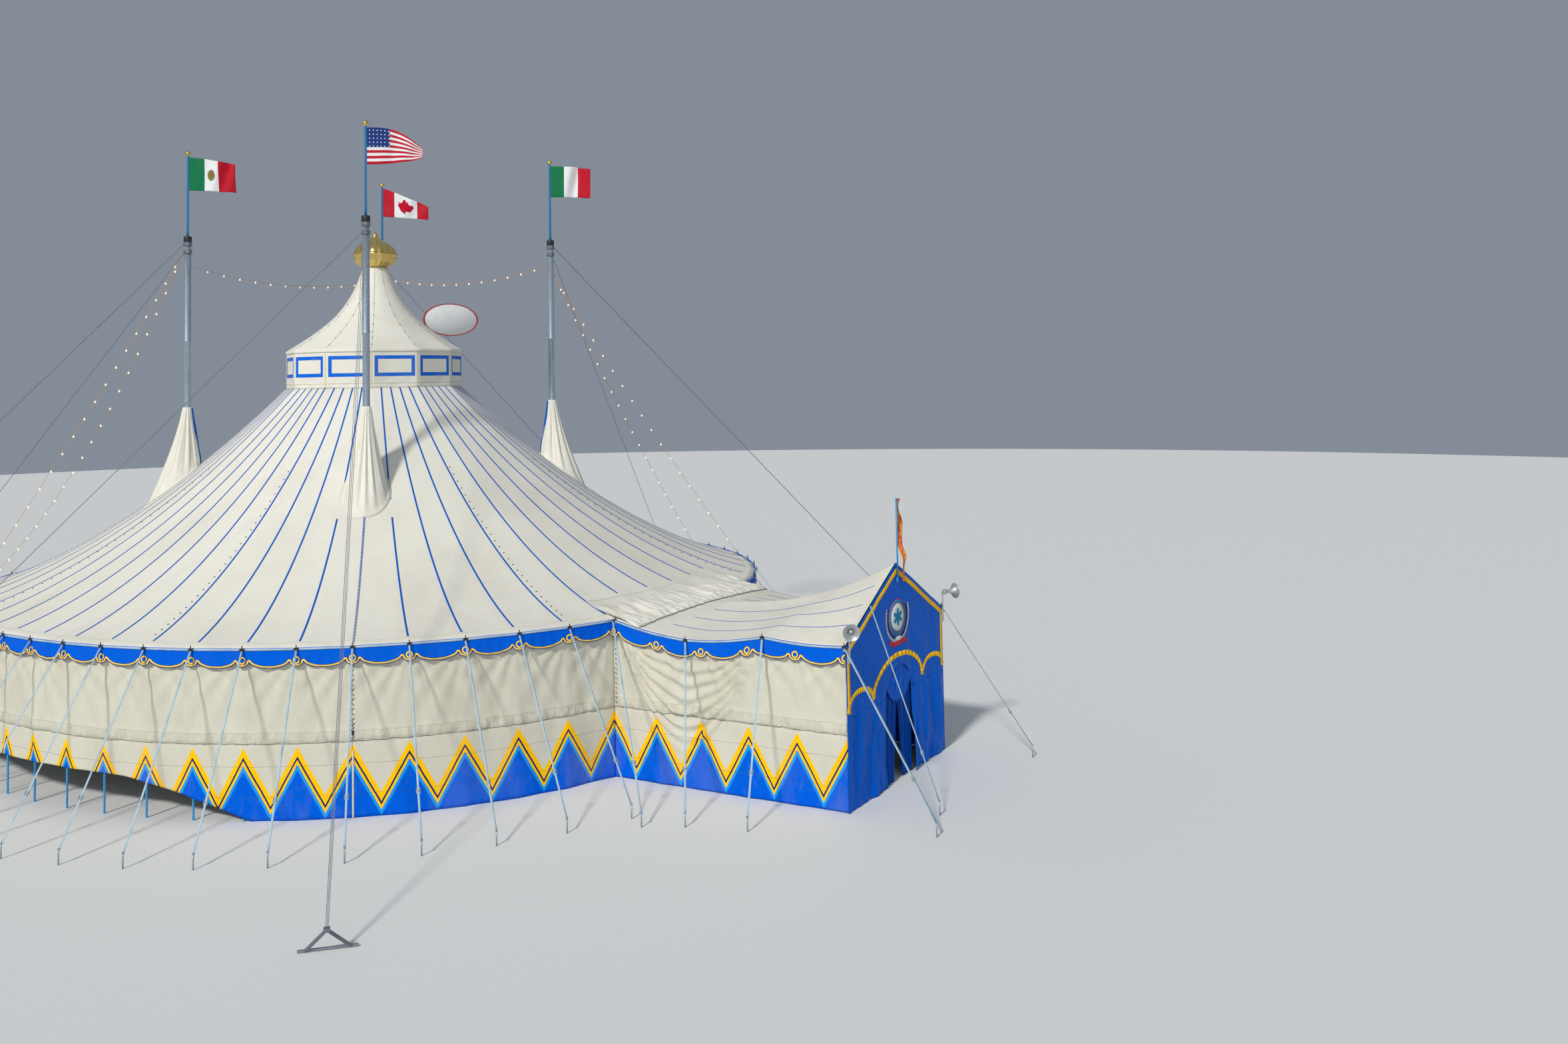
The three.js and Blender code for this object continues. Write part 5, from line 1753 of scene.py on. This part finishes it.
# %% Crest
CREST_Z = 4.31
CREST_STRETCH = 1.2
LEAF_SIZE = (0.08, 0.03)
crest_pale = plain_cloth("crest_pale_cloth", paint(206, 218, 212), scale=5.0)
crest_ring = plain_cloth("crest_ring_cloth", paint(36, 126, 168), scale=5.0)
crest_dark = plain_cloth("crest_dark_leaf_cloth", paint(24, 34, 58), scale=6.0)
crest_leaf = plain_cloth("crest_leaf_cloth", paint(176, 186, 196), scale=6.0)
crest_ribbon = plain_cloth("crest_ribbon_cloth", paint(190, 52, 66), scale=5.0)


def add_patch(bm, middle, size, lift, turn, sides):
    """Adds an oval on the facade, middle and size in (x, z)."""

    def place(across, down):
        angle = across * math.tau
        x = size[0] * math.cos(angle) * down
        z = size[1] * math.sin(angle) * down
        return facade_point(
            CREST_STRETCH * (middle[0] + x * math.cos(turn) - z * math.sin(turn)),
            middle[1] + x * math.sin(turn) + z * math.cos(turn), lift,
        )

    add_sheet(bm, sides, 3, place, closed=True)


def spray(row):
    """Leaves of one row of the two sprays, each laid along an arc beside the oval."""
    found = []
    for side in (-1, 1):
        for i in range(13):
            turn = math.radians(-82 + 8.6 * i)
            reach = 0.53 + 0.055 * row
            middle = (side * reach * math.cos(turn), CREST_Z + (reach + 0.05) * math.sin(turn))
            lean = turn + math.pi / 2 - (0.5 if row else -0.5)
            lean = lean if side > 0 else math.pi - lean
            found.append((middle, LEAF_SIZE, 0.010 + 0.002 * row, lean, 8))
    return found


def rosette(reach, length, width, count):
    """Petals set round the middle of the oval."""
    turns = [math.tau * i / count + math.pi / 2 for i in range(count)]
    return [
        ((reach * math.cos(turn), CREST_Z + reach * math.sin(turn)), (length, width), 0.019, turn, 12)
        for turn in turns
    ]


CREST_LOW = CREST_Z - 0.62
for name, finish, patches in (
    ("crest_rim", crest_ribbon, [((0, CREST_Z), (0.445, 0.485), 0.009, 0.0, 48)]),
    ("crest_ring", crest_ring, [((0, CREST_Z), (0.425, 0.465), 0.012, 0.0, 48)]),
    ("crest_inner_rim", crest_ribbon, [((0, CREST_Z), (0.34, 0.38), 0.014, 0.0, 44)]),
    ("crest_field", crest_pale, [((0, CREST_Z), (0.32, 0.36), 0.016, 0.0, 40)]),
    ("crest_rosette", crest_ring, rosette(0.13, 0.11, 0.055, 6) + rosette(0.0, 0.05, 0.05, 1)),
    ("crest_leaves_dark", crest_dark, spray(0)),
    ("crest_leaves_light", crest_leaf, spray(1)),
    ("crest_knot", crest_pale, [((0, CREST_LOW + 0.06), (0.15, 0.06), 0.020, 0.0, 20)]),
):
    bm = blank()
    for patch in patches:
        add_patch(bm, *patch)
    finished(name, bm, finish, slot="facade_canvas", thickness=THIN_CLOTH)



def ribbon_place(across, down):
    aside = across - 0.5
    z = CREST_LOW + 0.1 * math.cos(across * math.tau * 1.5) * abs(aside) + 0.16 * aside**2 - down * 0.13
    return facade_point(aside * 1.1, z, 0.016)


cloth_sheet("crest_ribbon", 30, 4, ribbon_place, crest_ribbon, slot="facade_canvas", thickness=THIN_CLOTH)
print("crest middle at", CREST_Z)

# %% [markdown]
# Horn loudspeakers stand on brackets at the front's two eave corners. A horn is a spun shape: a
# driver can, a narrow throat and a flare that folds back on itself at the rim.

# %% Horns
HORN_PROFILE = [
    (0.0, 0.0), (0.055, 0.0), (0.07, 0.012), (0.07, 0.11), (0.05, 0.125), (0.04, 0.14), (0.044, 0.19),
    (0.058, 0.24), (0.08, 0.29), (0.112, 0.34), (0.152, 0.38), (0.20, 0.412), (0.215, 0.418),
    (0.219, 0.426), (0.212, 0.432), (0.198, 0.426), (0.150, 0.396), (0.100, 0.350), (0.066, 0.29),
    (0.045, 0.24), (0.030, 0.22), (0.055, 0.235), (0.07, 0.29), (0.045, 0.35), (0.0, 0.375),
]
HORN_TURN = math.radians(58)
for side, label in SIDES:
    bm = blank()
    corner = Vector((side * (FACADE_HALF - 0.06), FACADE_Y - 0.09, FACADE_EAVE + 0.3))
    aim = Matrix.Rotation(side * HORN_TURN, 4, "Z") @ Matrix.Rotation(math.pi / 2, 4, "X")
    fit = Matrix.Translation(corner + Vector((0, -0.02, 0.12))) @ aim
    add_turned(bm, HORN_PROFILE, 36, fit)
    add_tube(bm, corner + Vector((0, 0, -0.72)), corner + Vector((0, 0, 0.06)), 0.022, 12)
    add_block(bm, (0.08, 0.058, 0.16), corner + Vector((0, 0.03, -0.63)))
    add_block(bm, (0.07, 0.05, 0.06), corner + Vector((0, -0.01, 0.06)), side * HORN_TURN)
    add_tube(bm, corner + Vector((0.05, 0.0, -0.63)), corner + Vector((-0.05, 0.0, -0.63)), 0.012, 8)
    horn = finished("horn_speaker_" + label, bm, horn_metal, slot="horn_metal")
    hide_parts("horn_" + label)
    edges = horn.modifiers.new("edges", "BEVEL")
    edges.width = 0.004
    edges.segments = 2
    edges.limit_method = "ANGLE"
    edges.angle_limit = math.radians(50)
print("horn mouth", 2 * max(radius for radius, _ in HORN_PROFILE), "m across")

# %% [markdown]
# A patterned streamer hangs from a short pole on the gable's peak, twisted by the wind.

# %% Streamer
STREAMER_LENGTH = 2.2
STREAMER_WIDTH = 0.33
POLE_Y = FACADE_Y - 0.0653
streamer_finish, tree, shader = new_finish("streamer_cloth", 0.7)
place = coordinates(tree)
blotch = ramp(tree, spots(tree, stretched(tree, place, (9, 9, 5)), 1.0, 4.0), 0.42, 0.58)
fleck = ramp(tree, spots(tree, place, 22.0, 3.0), 0.52, 0.6)
colour = mix(tree, blotch, paint(214, 62, 26), paint(236, 150, 40))
colour = stained(tree, colour, fleck, 0.7, paint(150, 34, 46))
weathered(tree, shader, colour, place, paint(110, 80, 60), 0.15, 2.0)
bump(tree, shader, weave_height(tree, place, 140.0), 0.02)

bm = blank()
add_tube(bm, Vector((0, POLE_Y, FACADE_PEAK - 0.52)), Vector((0, POLE_Y, FACADE_PEAK + 1.75)), 0.022, 12)
add_block(bm, (0.06, 0.034, 0.12), Vector((0, FACADE_Y - 0.0473, FACADE_PEAK - 0.45)))
finished("streamer_pole", bm, pole_paint, slot="galvanised_steel")


def streamer_place(across, down):
    width = STREAMER_WIDTH - 0.12 * down
    twist = 0.7 * math.sin(down * 9) + 0.3 * math.sin(down * 17)
    x = 0.024 + across * width * (0.55 + 0.35 * math.cos(twist)) + 0.07 * math.sin(down * 9) * across
    y = POLE_Y + across * width * 0.4 * math.sin(twist) + 0.03 * math.sin(across * 9 + down * 6) * across
    blown = 0.16 * smooth(0.55, 0.75, down)
    x -= 0.06 * smooth(0.7, 1.0, down)
    return Vector((x, y - blown, FACADE_PEAK + 1.72 - down * STREAMER_LENGTH))


streamer = cloth_sheet(
    "streamer", 14, 60, streamer_place, streamer_finish, slot="streamer_cloth", thickness=THIN_CLOTH
)
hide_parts("gable_streamer")
print("streamer hung")

# %% [markdown]
# A webbing belt runs round the eave. At every pole head a strap leaves it for a stake in the
# ground, tightened by a ratchet about a metre up. Straps are flat bands; the ratchets and
# stakes are small repeated parts, so each has only a few dozen faces.

# %% Belt, straps and stakes
BELT_OFFSET = 0.0306
BELT_Z = EAVE_Z - 0.02
STAKE_REACH = 3.0
STAKE_TOP = 0.32
STRAP_WIDTH = 0.05
STRAP_THICK = 0.005
FRONT_STRAP_WIDTH = 0.09
STRAP_HEAD = BELT_OFFSET + 0.012
RATCHET_SHARE = 0.76
ROUND_STRAPS = 27
UP = Vector((0, 0, 1))

for side, label in SIDES:
    straps = blank()
    metalwork = blank()
    start, end = (32.8, 60) if side < 0 else (5, 32.2)

    def belt_place(across, down, start=start, end=end):
        u = start + (end - start) * down
        return facet(u, lambda azimuth: eave_radius(azimuth) + BELT_OFFSET, BELT_Z - 0.025 + across * 0.05)

    add_sheet(straps, 1, round((end - start) * 4), belt_place)

    def annex_belt_place(across, down, side=side):
        return annex_point(down, BELT_OFFSET, annex_eave(down) - 0.045 + across * 0.05, side)

    add_sheet(straps, 1, 36, annex_belt_place)
    guys = []
    for i in range(1, ROUND_STRAPS + 1):
        azimuth = side * (ANNEX_EDGE + i * GORE)
        radius = eave_radius(azimuth)
        guys.append((polar(azimuth, radius + STRAP_HEAD, BELT_Z), polar(azimuth, radius + STAKE_REACH)))
    guys.append((annex_point(0, STRAP_HEAD, BELT_Z, side), Vector((side * 6.25, AXIS_Y - 15.9, 0))))
    knots = [annex_point(bay / 3, STRAP_HEAD, annex_eave(bay / 3) - 0.02, side) for bay in (1, 2, 3)]
    guys.append((knots[0], Vector((side * 5.75, knots[0].y - 1.5, 0))))
    guys.append((knots[1], Vector((side * 5.3, knots[1].y - 0.7, 0))))
    front_foot = Vector((side * 3.5, FACADE_Y - 2.5, 0))
    guys.append((knots[2], front_foot))
    if side < 0:
        guys.append((Vector((-1.7, FACADE_Y - 0.05, 4.88)), Vector((-2.1, FACADE_Y - 2.0, 0))))
    for head, foot in guys:
        wide = FRONT_STRAP_WIDTH if foot == front_foot else STRAP_WIDTH
        low = foot + UP * STAKE_TOP
        run = low - head
        level = Vector((-run.y, run.x, 0)).normalized()
        add_strip(straps, 6, lambda t, a=head, b=run: a + b * t, level, wide)
        tension = run.normalized()
        spot = head + run * RATCHET_SHARE
        add_tube(metalwork, spot - level * 0.045, spot + level * 0.045, 0.024, 8)
        for turn in (-1, 1):
            plate = spot + level * 0.04 * turn
            add_tube(metalwork, plate - tension * 0.07, plate + tension * 0.07, 0.016, 6, 0.01)
        add_tube(metalwork, foot, foot + UP * (STAKE_TOP + 0.035), 0.018, 8)
        add_tube(metalwork, foot + UP * (STAKE_TOP + 0.02), foot + UP * (STAKE_TOP + 0.04), 0.03, 8)
        hook = low - tension * 0.05
        add_tube(metalwork, hook - level * 0.03, hook + level * 0.03, 0.008, 6)
    belt = finished(
        "guy_belt_and_straps_" + label, straps, strap_finish, slot="strap_webbing", thickness=STRAP_THICK
    )
    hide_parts("guy_straps_" + label)
    finished("guy_ratchets_and_stakes_" + label, metalwork, steel, slot="galvanised_steel")
    print(belt.name, "straps", len(guys))

# %% [markdown]
# At each pole head a small black clamp grips the eave, with a pin through it and a steel eye
# below. These take the strap, the belt and the pole together.

# %% Pole-head clamps
ROUND_POLES = 56
CLAMP_OUT = 0.055
clamps = blank()
eyes = blank()


def add_clamp(place, out):
    """Adds a clamp at an eave point, out being the level direction away from the tent."""
    heading = math.atan2(out.y, out.x)
    along = Vector((-out.y, out.x, 0))
    base = place + out * CLAMP_OUT
    eye = base - UP * 0.075
    add_block(clamps, (0.03, 0.11, 0.06), base, heading)
    add_tube(clamps, base + UP * 0.02, base + UP * 0.10, 0.016, 8, 0.011)
    add_tube(eyes, base - along * 0.075, base + along * 0.075, 0.008, 6)
    add_tube(eyes, eye + out * 0.01, eye + out * 0.026, 0.03, 10)


for i in range(ROUND_POLES):
    azimuth = ANNEX_EDGE + i * GORE
    add_clamp(polar(azimuth, eave_radius(azimuth), EAVE_Z - 0.01), outward_at(azimuth))
for side in (-1, 1):
    for bay in (1, 2, 3):
        out = Vector((side * annex_out.x, annex_out.y, 0))
        add_clamp(annex_point(bay / 3, 0, annex_eave(bay / 3) - 0.01, side), out)
finished("pole_head_clamps", clamps, black_paint, slot="galvanised_steel", smooth_faces=False)
finished("pole_head_eyes", eyes, steel, slot="galvanised_steel", smooth_faces=False)
print("clamps", ROUND_POLES + 6)

# %% [markdown]
# The side wall's quarters meet on the mast lines, where a pale band covers the join below a
# fitting and a dark lacing closes it above. The annex corners are laced in the same way.

# %% Wall joins
LACES = 22
CORNER_LACES = 16
FITTING_Z = 2.1
bands = blank()
laces = blank()
fittings = blank()
for degrees in MAST_AZIMUTHS.values():
    u = to_gore(degrees)
    azimuth = math.radians(degrees)
    out = outward_at(azimuth)
    aside = Vector((-out.y, out.x, 0))

    def band_line(t, u=u, out=out):
        return wall_point(u, 0.68 + 0.32 * t) + out * 0.014

    add_strip(bands, 24, band_line, aside, 0.05)
    add_block(fittings, (0.03, 0.05, 0.12), polar(azimuth, eave_radius(azimuth) - 0.03, FITTING_Z))
    for i in range(LACES):
        base = wall_point(u, 0.06 + 0.024 * i) + out * 0.012
        slant = aside * 0.035 * (1 if i % 2 else -1)
        add_tube(laces, base - slant, base + slant - UP * 0.06, 0.008, 5)
for side in (-1, 1):
    for i in range(CORNER_LACES):
        base = annex_point(0.004, -0.03, 4.0 - 0.13 * i, side)
        add_tube(laces, base, base + Vector((side * 0.035, -0.03, -0.02)), 0.013, 6)
finished("wall_join_bands", bands, hem_finish, slot="cream_canvas", thickness=THIN_CLOTH)
finished("wall_join_lacing", laces, rope_finish, slot="strap_webbing")
finished("wall_join_fittings", fittings, black_paint, slot="galvanised_steel", smooth_faces=False)
print("wall joins", len(MAST_AZIMUTHS))

# %% [markdown]
# Strings of small lamps run from mast to mast and from two masts down to the eave. Each is an
# orange cable swept along a sagging line, with lamps hung under it at even steps.

# %% Lamp strings
CABLE_RADIUS = 0.007
LAMP_STEP = 0.62
LAMP_RADIUS = 0.034
LAMP_FALL = 0.048
STRING_STEPS = 60
MAST_GAP = 0.12


def mast_head(corner, z=15.55):
    place = mast_foot(math.radians(MAST_AZIMUTHS[corner]))
    place.z = z
    return place


def toward(start, end, gap):
    return start + (end - start).normalized() * gap


def add_swept(bm, points, radius):
    """Adds a closed tube that follows the points."""
    before = None
    for i, place in enumerate(points):
        ahead = points[min(len(points) - 1, i + 1)] - points[max(0, i - 1)]
        turn = ahead.to_track_quat("Z", "Y").to_matrix().to_4x4()
        fit = Matrix.Translation(place) @ turn
        at_end = i in (0, len(points) - 1)
        rim = bmesh.ops.create_circle(bm, segments=6, radius=radius, matrix=fit, cap_ends=at_end)
        edges = {edge for vert in rim["verts"] for edge in vert.link_edges}
        if before:
            bmesh.ops.bridge_loops(bm, edges=list(before | edges))
        before = edges


def eave_head(degrees):
    azimuth = math.radians(degrees)
    return polar(azimuth, eave_radius(azimuth) + 0.03, EAVE_Z + 0.07)


STRINGS = {
    "lamp_string_front_right": (mast_head("front_right", 14.7), eave_head(45), 0.25),
    "lamp_string_right": (mast_head("front_right", 14.8), eave_head(63), 0.2),
    "lamp_string_left": (mast_head("back_left"), eave_head(-111), 0.3),
    "lamp_string_back_left": (mast_head("back_left", 15.6), eave_head(-147), 1.2),
    "lamp_string_back": (mast_head("back_left", 15.0), mast_head("back_right", 15.0), 0.45),
    "lamp_string_across": (mast_head("back_right", 15.1), mast_head("front_right", 15.1), 0.45),
}
for name, (start, end, sag) in STRINGS.items():
    start = toward(start, Vector((end.x, end.y, start.z)), MAST_GAP)
    if end.z > BOOT_TOP:
        end = toward(end, Vector((start.x, start.y, end.z)), MAST_GAP)
    line = []
    for i in range(STRING_STEPS + 1):
        t = i / STRING_STEPS
        line.append(start.lerp(end, t) - Vector((0, 0, sag * 4 * t * (1 - t))))
    length = sum((b - a).length for a, b in zip(line, line[1:]))
    bm = blank()
    add_swept(bm, line, CABLE_RADIUS)
    cable = finished(name, bm, orange_cable, slot="strap_webbing")
    bm = blank()
    lamps = math.floor(length / LAMP_STEP) - 1
    for i in range(lamps):
        run = (i + 1) / (lamps + 1) * STRING_STEPS
        low = math.floor(run)
        place = line[low].lerp(line[low + 1], run - low)
        middle = Matrix.Translation(place - UP * LAMP_FALL)
        bmesh.ops.create_icosphere(bm, subdivisions=2, radius=LAMP_RADIUS, matrix=middle)
        add_tube(bm, place - UP * 0.03, place, 0.016, 6)
    bulbs = finished(name + "_lamps", bm, bulb_glass, slot="sign_paint")
    tuple(start)
    print(name, "length", round(length, 2), "lamps", lamps)

# %% [markdown]
# A bare oval board with a red rim is held above the right side stay. It is a thick disc drawn out to
# an oval, with the rim as a separate ring so that it stands proud of the face.

# %% Sign board
SIGN_LIFT = 1.0
SIGN_SHARE = 0.2
SIGN_HALF = (1.28, 0.68)
SIDE_ANCHOR = Vector((19.0, AXIS_Y, 0.5))
sign_top = mast_foot(math.radians(135)) + Vector((0, 0, MAST_TOP - 0.52))
stay_run = SIDE_ANCHOR - sign_top
sign_face = stay_run.cross(UP).normalized()
sign_across = Vector((-sign_face.y, sign_face.x, 0))
sign_middle = sign_top + stay_run * SIGN_SHARE + sign_face * 0.022 + UP * SIGN_LIFT
basis = Matrix((sign_across, UP, sign_face)).transposed().to_4x4()
sign_fit = Matrix.Translation(sign_middle) @ basis @ Matrix.Diagonal((*SIGN_HALF, 1, 1))
FACE_PROFILE = [
    (0.0, -0.0125), (0.985, -0.0125), (0.99, -0.008), (0.99, 0.008), (0.985, 0.0125), (0.0, 0.0125),
]
RIM_PROFILE = [(0.94, -0.014), (0.997, -0.014), (0.997, 0.014), (0.94, 0.014), (0.94, -0.014)]


def sign_piece(name, profile, finish):
    bm = blank()
    add_turned(bm, profile, 64, sign_fit)
    return finished(name, bm, finish, slot="sign_paint")


board = sign_piece("sign_board_face", FACE_PROFILE, white_paint)
sign_piece("sign_board_rim", RIM_PROFILE, red_paint)
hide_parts("sign_board")
print("sign at", [round(value, 2) for value in sign_middle])

# %% [markdown]
# Stays, side poles and the front's inner frame already have the right shapes in the frame, so
# they stay and only get their finishes.

# %% Finishes on carried-over parts
CARRIED = {node: wire_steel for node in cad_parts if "_stay_" in node}
CARRIED |= {"side_poles_left": pole_paint, "side_poles_right": pole_paint, "facade_frame": steel}
for node, finish in CARRIED.items():
    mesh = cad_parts[node].data
    mesh.materials.clear()
    mesh.materials.append(finish)
print("carried over:", len(CARRIED))
